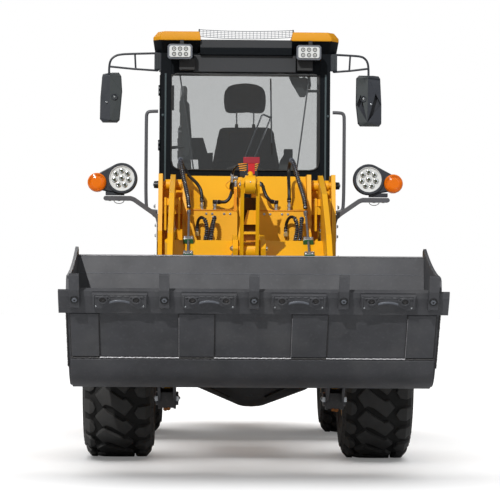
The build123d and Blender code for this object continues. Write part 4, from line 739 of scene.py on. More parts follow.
face_routes = [
    from_ridge([(-293, -21, -120.7), (-293, -21, -84), (-284, -43, -52), (-265, -72, -40), (-243, -95, -62),
                (-235, -100, -100), (-238, -91, -138), (-244, -72, -171), (-250, -54, -202), (-250, -54, -234.7)]),
    from_ridge([(-217, -52, -234.7), (-217, -52, -212), (-215, -77, -188), (-211, -94, -156), (-205, -101, -119),
                (-198, -100, -82), (-192, -88, -48), (-193, -53, -43), (-202, -27, -67), (-211, -19, -102),
                (-220, -20, -139), (-228, -22, -176), (-228, -22, -234.7)]),
    from_ridge([(227, -21, -120.7), (227, -21, -88), (235, -41, -55), (253, -64, -34), (276, -90, -42),
                (289, -101, -74), (290, -97, -111), (286, -86, -145), (279, -68, -178), (275, -53, -204),
                (275, -53, -234.7)]),
    from_ridge([(301, -54, -234.7), (301, -54, -212), (304, -77, -182), (308, -90, -148), (312, -94, -110),
                (316, -88, -72), (319, -63, -44), (318, -31, -55), (316, -21, -92), (314, -20, -140),
                (313, -21, -192), (313, -21, -234.7)]),
]


def lower(points, above, share):
    """A route with what stands above a height brought down by a share."""
    return [Vector((p.x, p.y, min(p.z, above + (p.z - above) * share))) for p in points]


boom_routes = [lower(route, 1.55, 0.86) for route in boom_routes]


def hose_piece(name, routes, body, replaced, guarded, radius=HOSE_R):
    """Hoses with a spiral guard over part of each, a thin pale coil on the guard as painted highlight, and crimped
    sleeves at their ends.
    """
    shape = Shape()
    for route, (start, end) in zip(routes, guarded):
        path = resample(spline(route), 0.006)
        shape.tube(path, radius, n=14)
        count = len(path)
        cover = path[int(count * start):int(count * end)]
        if len(cover) > 3:
            shape.tube(coil(cover, radius + 0.001, 0.0125), 0.0036, n=6, m=1)
            # Painted highlight: a thin pale coil over the dark guard stands for the glints on its windings.
            shape.tube(coil(cover, radius + 0.004, 0.0125), 0.0013, n=5, m=3)
        for tip, inner in ((path[0], path[3]), (path[-1], path[-4])):
            along = (inner - tip).normalized()
            shape.round(tip + along * 0.0005, tip + along * 0.026, radius + 0.0024, n=18, m=1)
            shape.ring(tip + along * 0.008, tip + along * 0.011, radius + 0.0034, radius, n=18, m=2)
            shape.ring(tip + along * 0.016, tip + along * 0.019, radius + 0.0034, radius, n=18, m=1)
    return shape.done(name, body, ["rubber", "guard", "steel", "guard_highlight"], "rubber", smooth=50,
                      replaces=[replaced])


boom_hoses = hose_piece("boom_lines", boom_routes, None, "boom_hoses", [(0.5, 0.96), (0.5, 0.96)])
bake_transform(boom_hoses)
tilt_hoses = hose_piece("tilt_lines", tilt_routes, None, "tilt_hoses", [(0, 0), (0, 0)])
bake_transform(tilt_hoses)
hose_piece("face_lines", face_routes, "front", "face_hoses", [(0.4, 0.92), (0.08, 0.55), (0.4, 0.92), (0.08, 0.55)],
           0.009)

# Fittings, clamps and pipes
fit = Shape()
for x in (-0.266, -0.19, 0.17, 0.247):
    y, z = RIDGE.y + 0.016, RIDGE.z
    fit.round((x, y, z + 0.0003), (x, y, z + 0.014), 0.0125, n=6)
    fit.round((x, y, z + 0.013), (x, y, z + 0.024), 0.009, n=20)
    fit.round((x, y, z + 0.023), (x, y, z + 0.038), 0.0125, n=6)
    fit.round((x, y, z + 0.037), (x, y, z + 0.052), 0.0095, n=20)
for route in tilt_routes:
    tip = route[0]
    x = -0.19 if tip.x < 0 else 0.17
    fit.round((x, RIDGE.y + 0.016, RIDGE.z + 0.05), tip, 0.0115, n=18, m=2)
    fit.round((x, RIDGE.y + 0.016, RIDGE.z + 0.04), (x, RIDGE.y + 0.016, RIDGE.z + 0.062), 0.0135, n=20, m=2)
for x in (-0.293, 0.227):
    z = RIDGE.z - 0.121
    fit.box((x - 0.011, x + 0.011), (-0.482, -0.4505), (z - 0.03, z - 0.006), m=1)
    fit.round((x, -0.471, z - 0.008), (x, -0.471, z + 0.012), 0.0115, n=6)
    fit.round((x, -0.4505, z - 0.018), (x, -0.462, z - 0.018), 0.014, n=6)
for span in ((-0.266, -0.204), (0.262, 0.328)):
    fit.box(span, (-0.514, -0.4505), (1.149, 1.184), m=2)
fit.done("hydraulic_fittings", "front", ["steel", "brass", "black"], "steel", bevel=0.0008,
         replaces=["hose_fittings"])

HEAD, SLOPE = Vector((0, -0.8304, 1.237)), atan2(112, 210)
slope_down, slope_out = Vector((0, -cos(SLOPE), -sin(SLOPE))), Vector((0, -sin(SLOPE), cos(SLOPE)))
pipes, clamps = Shape(), Shape()
for side, route in ((-1, boom_routes[0]), (1, boom_routes[1])):
    x = side * 0.341
    head = HEAD + slope_out * 0.0173 + Vector((x, 0, 0))
    run = [Vector((x, -0.5, 1.41)), Vector((x, -0.535, 1.396)), Vector((x, -0.575, 1.38)),
           head + slope_down * -0.03, head + slope_down * 0.01, head + slope_down * 0.06, head + slope_down * 0.225,
           head + slope_down * 0.262, Vector((side * 0.353, -1.1, 1.055)), Vector((side * 0.385, -1.25, 0.98)),
           Vector((side * 0.385, -1.3635, 0.913))]
    pipes.tube(resample(spline(run, 10), 0.008), 0.007, n=16)
    along = (route[-1] - run[0]).normalized()
    pipes.round(run[0] - along * 0.012, run[0] + along * 0.006, 0.0125, n=6)
    pipes.round(run[0] - along * 0.022, run[0] + along * 0.01, 0.0105, n=20)
    pipes.box(sorted((side * 0.363, side * 0.4225)), (-1.37, -1.36), (0.881, 0.945))
    for place in (0.03, 0.212):
        centre = head + slope_down * place
        for low, high, wide, deep, m in ((-0.0168, 0.0115, 0.029, 0.019, 0), (0.0115, 0.0145, 0.028, 0.017, 1)):
            corners = [(-wide, -deep), (wide, -deep), (wide, deep), (-wide, deep)]
            clamps.prism([centre + Vector((u, 0, 0)) + slope_down * v + slope_out * low for u, v in corners],
                         [centre + Vector((u, 0, 0)) + slope_down * v + slope_out * high for u, v in corners], m)
        for u in (-0.019, 0.019):
            clamps.bolt(centre + Vector((u, 0, 0)) + slope_out * 0.0145, slope_out, 0.0075, m=1)
pipes.done("boom_pipework", "boom", ["grey_frame_and_highlight"], "steel", smooth=50, replaces=["boom_pipes"])
clamps.done("pipe_clamps", "boom", ["green", "steel"], "steel", bevel=0.0015)

# ---------------------------------------------------------------- Cab shell
def mirrored(shape, x, y, z, m=0):
    """The same box on both sides."""
    for side in (-1, 1):
        shape.box((side * x[0], side * x[1]), y, z, m)


cab = Shape()
mirrored(cab, (0.464, 0.528), (0.362, 0.46), (1.03, 2.43))
mirrored(cab, (0.506, 0.549), (1.125, 1.185), (1.03, 2.43))
mirrored(cab, (0.517, 0.549), (1.535, 1.6), (1.03, 2.43))
mirrored(cab, (0.5, 0.5475), (0.38, 1.597), (1.0325, 1.088))
mirrored(cab, (0.5, 0.546), (1.18, 1.545), (1.08, 1.56))
mirrored(cab, (0.517, 0.5475), (0.44, 1.597), (2.372, 2.4275))
cab.box((-0.47, 0.47), (0.366, 0.46), (2.305, 2.43))
cab.box((-0.47, 0.47), (0.366, 0.45), (1.03, 1.7))
cab.box((-0.52, 0.52), (1.555, 1.598), (1.03, 1.6))
cab.box((-0.52, 0.52), (1.555, 1.598), (2.419, 2.43))
for side in (-1, 1):
    for corner in ([(0.466, 1.698), (0.466, 1.76), (0.456, 1.728), (0.438, 1.71), (0.405, 1.698)],
                   [(0.466, 2.307), (0.466, 2.262), (0.458, 2.287), (0.442, 2.3), (0.418, 2.307)]):
        cab.slab([(side * x, z) for x, z in corner], 0.364, 0.44)
    # Painted reflection: a paler strip down each front pillar, and the pillar bolts, take the sheen colour.
    cab.box((side * 0.4935, side * 0.5045), (0.357, 0.366), (1.1, 2.3), m=1)
    for z in (1.2, 1.62, 2.04):
        cab.bolt((side * 0.515, 0.362, z), (0, -1, 0), 0.006, m=1)
cab.done("cab_shell", "rear", ["cab", "pillar_sheen"], "black", bevel=0.007, segments=3, replaces=["cab_frame"])

seal = Shape()
seal_path = [(-0.462, 0.362, 1.76), (-0.452, 0.362, 1.722), (-0.43, 0.362, 1.706), (-0.4, 0.362, 1.7),
             (0.4, 0.362, 1.7), (0.43, 0.362, 1.706), (0.452, 0.362, 1.722), (0.462, 0.362, 1.76),
             (0.462, 0.362, 2.29), (-0.462, 0.362, 2.29)]
seal.tube(seal_path, 0.005, n=8, closed=True)
rear_path = [(-0.512, 1.598, 1.604), (0.512, 1.598, 1.604), (0.512, 1.598, 2.415), (-0.512, 1.598, 2.415)]
seal.tube(rear_path, 0.006, n=8, closed=True)
for side in (-1, 1):
    seal.tube([(side * 0.549, y, z) for y, z in ((1.192, 1.566), (1.53, 1.566), (1.53, 2.366), (1.192, 2.366))],
              0.005, n=8, closed=True)
seal.done("window_seals", "rear", ["rubber"], "rubber", smooth=60)

panes = Shape()
panes.box((-0.468, 0.468), (0.372, 0.377), (1.69, 2.31))
panes.box((-0.518, 0.518), (1.583, 1.588), (1.59, 2.425))
mirrored(panes, (0.509, 0.514), (1.186, 1.536), (1.556, 2.374))
panes.done("cab_panes", "rear", ["glass"], "glass", replaces=["cab_glass"])

# Roof: two yellow ridges with a lower deck between them
roof = Shape()
rim_low = [(0.3, 0.365), (0.52, 0.365), (0.566, 0.405), (0.566, 1.6), (0.52, 1.67), (0.3, 1.67)]
rim_wide = [(0.283, 0.29), (0.53, 0.29), (0.578, 0.35), (0.578, 1.635), (0.53, 1.69), (0.283, 1.69)]
rim_top = [(0.29, 0.3), (0.508, 0.3), (0.548, 0.352), (0.548, 1.625), (0.508, 1.68), (0.29, 1.68)]
n = len(rim_low)
for side in (-1, 1):
    levels = ((2.425, rim_low), (2.502, rim_wide), (2.522, rim_wide), (2.557, rim_top))
    points = [(side * x, y, z) for z, ring in levels for x, y in ring]
    for count, quad in enumerate(loft(3, n)):
        roof.faces([points[q] for q in quad], [(0, 1, 2, 3)], 1 if count < n else 0)
    roof.faces(points[:n], [tuple(range(n))], 1)
    roof.faces(points[3 * n:], [tuple(range(n))], 0)
bmesh.ops.remove_doubles(roof.bm, verts=roof.bm.verts[:], dist=0.0001)
roof.box((-0.286, 0.286), (0.335, 1.66), (2.43, 2.505))
roof.box((-0.286, 0.286), (0.32, 0.336), (2.459, 2.509), m=2)
roof.box((-0.286, 0.286), (0.318, 0.365), (2.414, 2.461), m=1)
roof.box((-0.326, 0.312), (0.342, 0.367), (2.31, 2.4145), m=2)
for x in (-0.2, 0, 0.2):
    roof.box((x - 0.012, x + 0.012), (0.42, 1.6), (2.504, 2.511))
roof.box((-0.24, 0.24), (1.0, 1.45), (2.504, 2.524), m=1)
roof.done("roof_shell", "rear", ["roof", "cab", "grey_panel"], "yellow", bevel=0.006, segments=3,
          replaces=["cab_roof"])

screen = Shape()


def screen_z(x, share):
    """Height of the bowed roof screen at x, from its lower to its upper edge."""
    lift = (x / 0.2906) ** 2
    return (2.514 + 0.0125 * lift) * (1 - share) + (2.5605 + 0.0085 * lift) * share


for k in range(27):
    x = -0.2906 + 0.5812 * k / 26
    screen.tube([(x, 0.31, screen_z(x, 0)), (x, 0.31, screen_z(x, 1))], 0.0013, n=5)
for k in range(5):
    xs = [-0.2906 + 0.5812 * i / 12 for i in range(13)]
    screen.tube([(x, 0.31, screen_z(x, k / 4)) for x in xs], 0.0019 if k in (0, 4) else 0.0012, n=5)
for side in (-1, 1):
    screen.box((side * 0.288, side * 0.296), (0.305, 0.318), (2.505, 2.572), m=1)
screen.done("roof_screen", "rear", ["wire", "black"], "black", smooth=60)


# ---------------------------------------------------------------- Lamps
def lamp_bank(shape, x, y, z, out):
    """A two-row work lamp: grey frame, pale panel, six small reflectors."""
    cx, cz = sum(x) / 2, sum(z) / 2
    wide, tall = (x[1] - x[0]) / 2, (z[1] - z[0]) / 2
    for level, (grow, y0, y1, m) in enumerate(((0, 0, 0.034, 0), (-0.011, 0.033, 0.04, 1))):
        w, h, c = wide + grow, tall + grow, 0.012 if not level else 0.008
        outline = [(-w + c, -h), (w - c, -h), (w, -h + c), (w, h - c), (w - c, h), (-w + c, h), (-w, h - c),
                   (-w, -h + c)]
        shape.prism([(cx + u, y + out * y0, cz + v) for u, v in outline],
                    [(cx + u, y + out * y1, cz + v) for u, v in outline], m)
    for u in (-0.0365, 0, 0.0365):
        for v in (-0.0165, 0.0165):
            face = y + out * 0.04
            shape.ring((cx + u, face - out * 0.002, cz + v), (cx + u, face + out * 0.0025, cz + v), 0.0132, 0.0085,
                       n=20, m=2)
            shape.round((cx + u, face - out * 0.002, cz + v), (cx + u, face + out * 0.001, cz + v), 0.0045, n=10, m=3)
    for v in range(5):
        shape.box((cx - wide * 0.8, cx + wide * 0.8), sorted((y, y - out * 0.014)),
                  (cz - tall * 0.8 + v * 0.016, cz - tall * 0.8 + v * 0.016 + 0.004), m=4)


work = Shape()
for side in (-1, 1):
    lamp_bank(work, (side * 0.3985 - 0.0875, side * 0.3985 + 0.0655), 0.262, (2.378, 2.47), -1)
    work.box((side * 0.3985 - 0.012, side * 0.3985 + 0.012), (0.262, 0.3), (2.462, 2.5), m=4)
    work.box((side * 0.318, side * 0.414), (0.29, 0.366), (2.318, 2.388), m=4)
    work.box((side * 0.33, side * 0.47), (0.3, 0.366), (2.386, 2.425), m=4)
    lamp_bank(work, (side * 0.405 - 0.062, side * 0.405 + 0.062), 1.705, (2.45, 2.525), 1)
    work.box((side * 0.405 - 0.012, side * 0.405 + 0.012), (1.685, 1.706), (2.47, 2.5), m=4)
work.done("work_lamps", "rear", ["grey_frame_and_highlight", "lamp_white", "lamp_dark", "lamp_speck", "plastic"], "lamp",
          bevel=0.002, replaces=["work_lights"])


def convex(points):
    """Outline of the smallest convex area round points."""
    points = sorted(set(points))

    def turn(a, b, c):
        return (b[0] - a[0]) * (c[1] - a[1]) - (b[1] - a[1]) * (c[0] - a[0])

    def half(order):
        out = []
        for p in order:
            while len(out) > 1 and turn(out[-2], out[-1], p) <= 0:
                out.pop()
            out.append(p)
        return out[:-1]
    return half(points) + half(points[::-1])


STAND_Y = -0.262
heads, stands = Shape(), Shape()
for side in (-1, 1):
    cx, cz, ax, az = (0.725, 1.616, 0.872, 1.592) if side > 0 else (-0.743, 1.612, -0.89, 1.587)
    ring = [(cx + 0.092 * c, cz + 0.092 * s) for c, s in circle(56)]
    ring += [(ax - side * 0.014 + 0.047 * c, az + 0.004 + 0.047 * s) for c, s in circle(40)]
    outline = convex([(round(x, 5), round(z, 5)) for x, z in ring])
    shrink = [(cx + (x - cx) * 0.94, cz + (z - cz) * 0.94) for x, z in outline]
    back = [(cx + (x - cx) * 0.62, cz + (z - cz) * 0.62) for x, z in outline]
    n = len(outline)
    rings = [(x, y, z) for one, y in ((back, -0.205), (outline, -0.232), (outline, -0.285), (shrink, -0.294))
             for x, z in one]
    heads.faces(rings, loft(3, n) + [tuple(range(n)), tuple(range(3 * n, 4 * n))])
    heads.ring((cx, -0.292, cz), (cx, -0.305, cz), 0.089, 0.0755, n=64)
    heads.ring((cx, -0.29, cz), (cx, -0.303, cz), 0.0785, 0.0715, n=64, m=1)
    heads.round((cx, -0.288, cz), (cx, -0.2955, cz), 0.072, n=64, m=1)
    spots = [(0, 0)] + [(0.0435 * sin(tau * k / 7), 0.0435 * cos(tau * k / 7)) for k in range(7)]
    for u, v in spots:
        for r0, r1, y0, y1, m in ((0.0165, 0.0165, -0.295, -0.2975, 2), (0.015, 0.011, -0.2974, -0.299, 3),
                                  (0.0075, 0.006, -0.2989, -0.3005, 4)):
            heads.round((cx + u, y0, cz + v), (cx + u, y1, cz + v), r0, r1, n=20, m=m)
        for t in range(3):
            heads.box((cx + u - 0.012, cx + u + 0.012), (-0.3005, -0.2985),
                      (cz + v - 0.0075 + t * 0.0068, cz + v - 0.0055 + t * 0.0068), m=5)
    for t in (0.9, 2.2, 3.7, 5.0):
        heads.bolt((cx + 0.083 * cos(t), -0.304, cz + 0.083 * sin(t)), (0, -1, 0), 0.004, m=5, washer=False)
    profile = [(0.0, 0.0), (0.028, 0.0), (0.047, 0.006), (0.0555, 0.018), (0.0565, 0.034), (0.0565, 0.075)]
    n = 48
    for near, far in zip(profile, profile[1:]):
        points = [(ax + r * c, -0.318 + d, az + r * s) for r, d in (near, far) for c, s in circle(n)]
        if near[0] == 0:
            heads.faces(points[n:], [tuple(range(n))], 6)
        else:
            heads.faces(points, loft(1, n), 6)
    for t in range(9):
        r = 0.05 - 0.0055 * t
        heads.ring((ax, -0.3185 + 0.0005 * t, az), (ax, -0.3165, az), max(0.004, r), max(0.002, r - 0.0018), n=36,
                   m=6)
    heads.box((side * 0.729, side * 0.839), (-0.285, -0.225), (1.5125, 1.535))
    path = [Vector((side * x, STAND_Y, z)) for x, z in ((0.838, 1.494), (0.69, 1.494), (0.67, 1.487), (0.556, 1.408),
                                                        (0.53, 1.385), (0.5205, 1.35), (0.5205, 1.25))]
    for a, b in zip(path, path[1:]):
        along = (b - a).normalized()
        up = Vector((-along.z, 0, along.x)) * 0.0135
        deep = Vector((0, 0.026, 0))
        stands.prism([a + up - deep, b + up - deep, b - up - deep, a - up - deep],
                     [a + up + deep, b + up + deep, b - up + deep, a - up + deep])
    for at in path:
        stands.round((at.x, -0.2874, at.z), (at.x, -0.2366, at.z), 0.0134, n=24)
    for x in (0.76, 0.815):
        stands.bolt((side * x, STAND_Y, 1.485), (0, 0, -1), 0.008, m=1)
    for z in (1.275, 1.335):
        stands.bolt((side * 0.538, STAND_Y, z), (side, 0, 0), 0.009, m=1)
    loop = [(side * (0.76 + 0.03 * cos(pi * i / 12)), STAND_Y + 0.012 * sin(pi * i / 12),
             1.4815 - 0.018 * sin(pi * i / 12)) for i in range(13)]
    stands.tube(loop, 0.0022, n=8, m=2)
lamp_materials = ["housing", "lamp_white", "lamp_speck", "reflector", "lamp_green", "lamp_dark", "amber"]
heads.done("head_lamps", "front", lamp_materials, "lamp", smooth=40, replaces=["headlights"])
stands.done("lamp_stands", "front", ["bracket", "steel", "rubber"], "black", bevel=0.0015, smooth=40,
            replaces=["headlight_brackets"])

# ---------------------------------------------------------------- Wiper and things behind the windscreen
wiper = Shape()
wiper.tube([(0.0028, 0.355, 1.725), (0.0028, 0.348, 1.79), (0.102, 0.34, 2.044)], 0.0052, n=10)
wiper.tube([(0.04, 0.355, 1.725), (0.0624, 0.348, 1.783), (0.1576, 0.34, 2.029)], 0.0052, n=10)
wiper.tube([(0.01, 0.347, 1.8), (0.106, 0.336, 2.05)], 0.0018, n=6, m=1)
wiper.tube([(0.069, 0.347, 1.795), (0.158, 0.336, 2.02)], 0.0018, n=6, m=1)
wiper.tube([(0.102, 0.34, 2.044), (0.112, 0.338, 2.046), (0.15, 0.34, 2.03), (0.16, 0.342, 2.034)], 0.006, n=10)
wiper.tube([(0.1552, 0.352, 2.272), (0.16, 0.352, 2.035), (0.1655, 0.352, 1.796)], 0.0048, n=8, m=2)
wiper.tube([(0.1556, 0.346, 2.2), (0.16, 0.342, 2.035), (0.1645, 0.346, 1.87)], 0.004, n=8)
wiper.box((-0.02, 0.07), (0.345, 0.364), (1.7, 1.735))
wiper.done("wiper", "rear", ["wiper_grey", "steel", "rubber"], "black", smooth=50)

inside = Shape()
inside.tube([(-0.418, 0.392, 2.345), (-0.3189, 0.392, 1.684), (-0.313, 0.392, 1.64)], 0.005, n=8)
inside.tube([(0.4, 0.392, 2.31), (0.3263, 0.392, 1.731), (0.318, 0.392, 1.66)], 0.005, n=8)
leaf = [(0.2803, 2.312), (0.2723, 2.29), (0.29, 2.25), (0.3123, 2.214), (0.3403, 2.166), (0.3722, 2.166),
        (0.386, 2.19), (0.4, 2.24), (0.4, 2.262), (0.385, 2.285), (0.3682, 2.294), (0.35, 2.286), (0.338, 2.29),
        (0.318, 2.312)]
inside.slab(leaf, 0.44, 0.452, 1)
inside.tube([(0.385, 0.446, 2.204), (0.47, 0.446, 2.204)], 0.009, n=10, m=1)
inside.tube([(0.395, 0.43, 2.3), (0.402, 0.43, 2.24), (0.396, 0.43, 2.215)], 0.01, n=10, m=1)
inside.box((-0.468, -0.4463), (0.4, 0.43), (2.074, 2.229), m=1)
strap = [(-0.391, 2.162), (-0.4135, 2.134), (-0.4135, 2.07), (-0.402, 2.05), (-0.399, 1.894), (-0.391, 1.806),
         (-0.372, 1.78), (-0.355, 1.79), (-0.343, 1.85), (-0.3352, 1.91), (-0.3511, 2.118)]
inside.slab(strap, 0.455, 0.475, 1)
inside.tube([(-0.465, 0.46, 1.842), (-0.385, 0.46, 1.85)], 0.01, n=10, m=1)
left_box = [(-0.4, 1.949), (-0.2643, 1.949), (-0.235, 1.849), (-0.2, 1.853), (-0.2, 1.4), (-0.285, 1.4),
            (-0.2935, 1.749), (-0.2977, 1.811), (-0.345, 1.811), (-0.34, 1.749), (-0.345, 1.4), (-0.4, 1.4)]
inside.slab(left_box, 1.1, 1.2, 1)
right_box = [(0.2457, 1.811), (0.2666, 1.845), (0.2666, 1.8765), (0.3226, 1.8765), (0.3226, 1.753), (0.36, 1.7),
             (0.36, 1.4), (0.22, 1.4), (0.235, 1.78)]
inside.slab(right_box, 1.05, 1.15, 1)
inside.box((-0.462, 0.462), (0.405, 0.64), (1.62, 1.685), m=1)
inside.done("cab_inside", "rear", ["wiper_grey", "inside_grey_and_lit_side"], "plastic", bevel=0.002, smooth=40)

# ---------------------------------------------------------------- Mirrors
ARM_Y = 0.385
mirrors = Shape()
for side in (-1, 1):
    shell = [(0.893, 2.296), (0.847, 2.306), (0.793, 2.307), (0.777, 2.283), (0.771, 2.188), (0.786, 2.009),
             (0.802, 1.993), (0.8915, 1.993), (0.909, 2.0145), (0.907, 2.1526), (0.897, 2.28)]
    mid, bar, cut = (0.842, 2.15), 0.8465, 0.84
    if side > 0:
        shell = [(0.8322, 2.2962), (0.8, 2.3), (0.71, 2.3006), (0.6925, 2.2831), (0.6907, 2.1172),
                 (0.7038, 1.9993), (0.7187, 1.9819), (0.8383, 1.9819), (0.8514, 1.9993), (0.8514, 2.1172),
                 (0.8427, 2.2814)]
        mid, bar, cut = (0.77, 2.15), 0.765, 0.76
    levels = [(0.422, 0.96), (0.416, 1.0), (0.4, 1.0), (0.386, 0.95)]
    flat = [(side * (mid[0] + (x - mid[0]) * f), y, mid[1] + (z - mid[1]) * (1 - (1 - f) * 0.5)) for y, f in levels
            for x, z in shell]
    n = len(shell)
    mirrors.faces(flat, loft(3, n))
    mirrors.faces(flat[:n], [tuple(range(n))], 0)
    inner = [(mid[0] + (x - mid[0]) * 0.88, mid[1] + (z - mid[1]) * 0.93) for x, z in shell]
    mirrors.prism([(side * x, 0.4225, z) for x, z in inner], [(side * x, 0.4235, z) for x, z in inner], 2)
    front = flat[3 * n:]
    ridge_top, ridge_low = (side * bar, 0.374, 2.285), (side * (bar - 0.003), 0.374, 2.006)
    # Painted light: front faces outside the ridge keep the dark housing colour and the rest take a paler grey, as a
    # lit side and a shaded side.
    for k in range(n):
        a, b = front[k], front[(k + 1) % n]
        low, high = sorted((abs(a[0]), abs(b[0])))
        painted_light_tone = 0 if high > bar and low > cut else 1
        near = ridge_top if (a[2] + b[2]) / 2 > mid[1] else ridge_low
        mirrors.faces([a, b, near], [(0, 1, 2)], painted_light_tone)
    for k in range(n):
        a, b = front[k], front[(k + 1) % n]
        if (a[2] > mid[1]) != (b[2] > mid[1]):
            mirrors.faces([max(a, b, key=lambda p: p[2]), ridge_top, ridge_low], [(0, 1, 2)],
                          0 if abs(a[0]) > bar else 1)
    knob, screw = side * (bar - 0.0285), side * (bar + 0.0195)
    mirrors.ring((knob, 0.386, 2.1526), (knob, 0.372, 2.1526), 0.0195, 0.015, n=24)
    mirrors.round((knob, 0.38, 2.1526), (knob, 0.374, 2.1526), 0.0055, n=12, m=3)
    mirrors.round((screw, 0.386, 2.1185), (screw, 0.37, 2.1185), 0.006, n=12, m=3)
    arm = [(0.55, 2.4275), (0.7, 2.423), (0.793, 2.418), (0.826, 2.402), (0.845, 2.38), (0.8525, 2.346),
           (0.853, 2.29), (0.85, 2.2), (0.848, 2.1)]
    if side > 0:
        arm = [(0.55 + (x - 0.55) * 0.72, z) for x, z in arm]
    reach = 0.851 if side < 0 else 0.767
    mirrors.tube(spline([(side * x, ARM_Y, z) for x, z in arm], 6), 0.0068, n=12)
    mirrors.tube([(side * 0.55, ARM_Y, 2.319), (side * (reach + 0.55) / 2, ARM_Y, 2.328),
                  (side * reach, ARM_Y, 2.342)], 0.0064, n=12)
    mirrors.tube([(side * (reach * 0.47 + 0.2925), ARM_Y, 2.423), (side * (reach * 0.47 + 0.287), ARM_Y, 2.328)],
                 0.0058, n=10)
    mirrors.box((side * 0.528, side * 0.5706), (0.372, 0.412), (2.325, 2.43))
    for u in (0.537, 0.547, 0.557):
        mirrors.box((side * u, side * (u + 0.005)), (0.369, 0.374), (2.33, 2.425), m=1)
    mirrors.round((side * 0.552, 0.392, 2.327), (side * 0.552, 0.392, 2.315), 0.01, 0.006, n=14)
rails = Shape()
for side in (-1, 1):
    rail = [(0.545, 2.065), (0.58, 2.065), (0.616, 2.06), (0.618, 2.01), (0.618, 1.9), (0.618, 1.6),
            (0.616, 1.5), (0.612, 1.452), (0.58, 1.442), (0.545, 1.44)]
    rails.tube(spline([(side * x, ARM_Y, z) for x, z in rail], 6), 0.0105, n=16)
rails.done("grab_tubes", "rear", ["bracket"], "black", smooth=50, replaces=["grab_rails"])
mirrors.done("mirror_set", "rear", ["housing", "inside_grey_and_lit_side", "mirror", "steel"], "plastic", bevel=0.002, smooth=30,
             replaces=["mirrors"])


# ---------------------------------------------------------------- Seat
VOXEL, PRESSURE, LAST_FRAME = 0.007, 4, 20


def pad(name, outline, place, faces, cap, node, channels=()):
    """A cushion from an (x, a) outline swept between two faces, blown up by cloth pressure and piped along its seams.

    Pressure moves a point by no more than cap. Channels are sewn lines across the face, each from point to point.
    """
    shape = Shape()
    near, far = faces
    middle = (sum(p[0] for p in outline) / len(outline), sum(p[1] for p in outline) / len(outline))

    def swell(x, a, share, grow):
        """A point of the outline grown from its middle, part of the way through."""
        return middle[0] + (x - middle[0]) * grow, near + (far - near) * share, middle[1] + (a - middle[1]) * grow
    rings = []
    for share, grow in ((0.0, 0.9), (0.12, 0.975), (0.5, 1.0), (0.88, 0.975), (1.0, 0.9)):
        rings += [place(*swell(x, a, share, grow)) for x, a in outline]
    n = len(outline)
    shape.faces(rings, loft(4, n) + [tuple(range(n)), tuple(range(4 * n, 5 * n))])
    obj = shape.done(name, None, ["fabric"], None, smooth=60)
    remesh = obj.modifiers.new("remesh", "REMESH")
    remesh.mode = "VOXEL"
    remesh.voxel_size = VOXEL
    remesh.use_smooth_shade = True

    def settle():
        graph = bpy.context.evaluated_depsgraph_get()
        mesh = bpy.data.meshes.new_from_object(obj.evaluated_get(graph))
        obj.modifiers.clear()
        obj.data = mesh
    settle()
    start = [v.co.copy() for v in obj.data.vertices]
    cloth = obj.modifiers.new("cloth", "CLOTH")
    cloth.settings.use_pressure = True
    cloth.settings.uniform_pressure_force = PRESSURE
    cloth.settings.effector_weights.gravity = 0
    cloth.settings.quality = 4
    cloth.point_cache.frame_start, cloth.point_cache.frame_end = 1, LAST_FRAME
    for frame_number in range(1, LAST_FRAME + 1):
        bpy.context.scene.frame_set(frame_number)
    settle()
    bpy.context.scene.frame_set(1)
    for v, rest in zip(obj.data.vertices, start):
        move = v.co - rest
        if move.length > cap:
            v.co = rest + move * (cap / move.length)
    obj.data.materials.clear()
    obj.data.materials.append(M["fabric"])
    smooth = obj.modifiers.new("smooth", "SMOOTH")
    smooth.factor, smooth.iterations = 0.5, 4
    settle()
    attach(obj, "rear")
    if node:
        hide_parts(node)
    piping = Shape()
    for share, grow in ((0.12, 0.975), (0.88, 0.975)):
        ring = []
        for k in range(n):
            (x0, a0), (x1, a1) = outline[k], outline[(k + 1) % n]
            for t in (0, 0.25, 0.5, 0.75):
                x, a = x0 + (x1 - x0) * t, a0 + (a1 - a0) * t
                _, hit, normal, _ = obj.closest_point_on_mesh(Vector(place(*swell(x, a, share, grow))))
                ring.append(hit + normal * 0.001)
        piping.tube(ring, 0.0028, n=6, closed=True)
    for channel in channels:
        line = []
        for t in range(25):
            x, a = (p + (q - p) * t / 24 for p, q in zip(*channel))
            _, hit, normal, _ = obj.closest_point_on_mesh(Vector(place(x, near + (near - far) * 0.2, a)))
            line.append(hit + normal * 0.0005)
        piping.tube(line, 0.0022, n=6)
    piping.done(name + "_seams", "rear", ["rubber"], "fabric", smooth=60)


def upright(x, y, z):
    """Places an outline as a leaning back: across, through and up."""
    return (x + 0.012, y + (z - 1.49) * 0.09, z)


head_side = [(0.1, 2.13), (0.124, 2.134), (0.136, 2.15), (0.1415, 2.2), (0.141, 2.24), (0.134, 2.28),
             (0.115, 2.306), (0.08, 2.322), (0.04, 2.329)]
mirror_side = [(-x, a) for x, a in head_side]
head_outline = mirror_side[2::-1] + [(0, 2.129)] + head_side + [(0, 2.331)] + mirror_side[:2:-1]
pad("headrest", head_outline, upright, (1.235, 1.31), 0.008, None)
back_outline = [(-0.18, 1.5), (0, 1.495), (0.205, 1.5), (0.235, 1.56), (0.248, 1.68), (0.238, 1.8), (0.215, 1.92),
                (0.197, 2.01), (0.18, 2.036), (0.15, 2.044), (0, 2.042), (-0.15, 2.04), (-0.172, 2.028),
                (-0.19, 1.96), (-0.208, 1.88), (-0.226, 1.78), (-0.232, 1.68), (-0.222, 1.56)]
pad("backrest", back_outline, upright, (1.195, 1.3), 0.01, "seat_back",
    [((-0.12, 1.53), (-0.1, 2.02)), ((0.12, 1.53), (0.1, 2.02)), ((-0.2, 1.8), (0.2, 1.8))])


def level(x, z, y):
    """Places an outline lying flat: across, up and through."""
    return (x + 0.025, y, z)


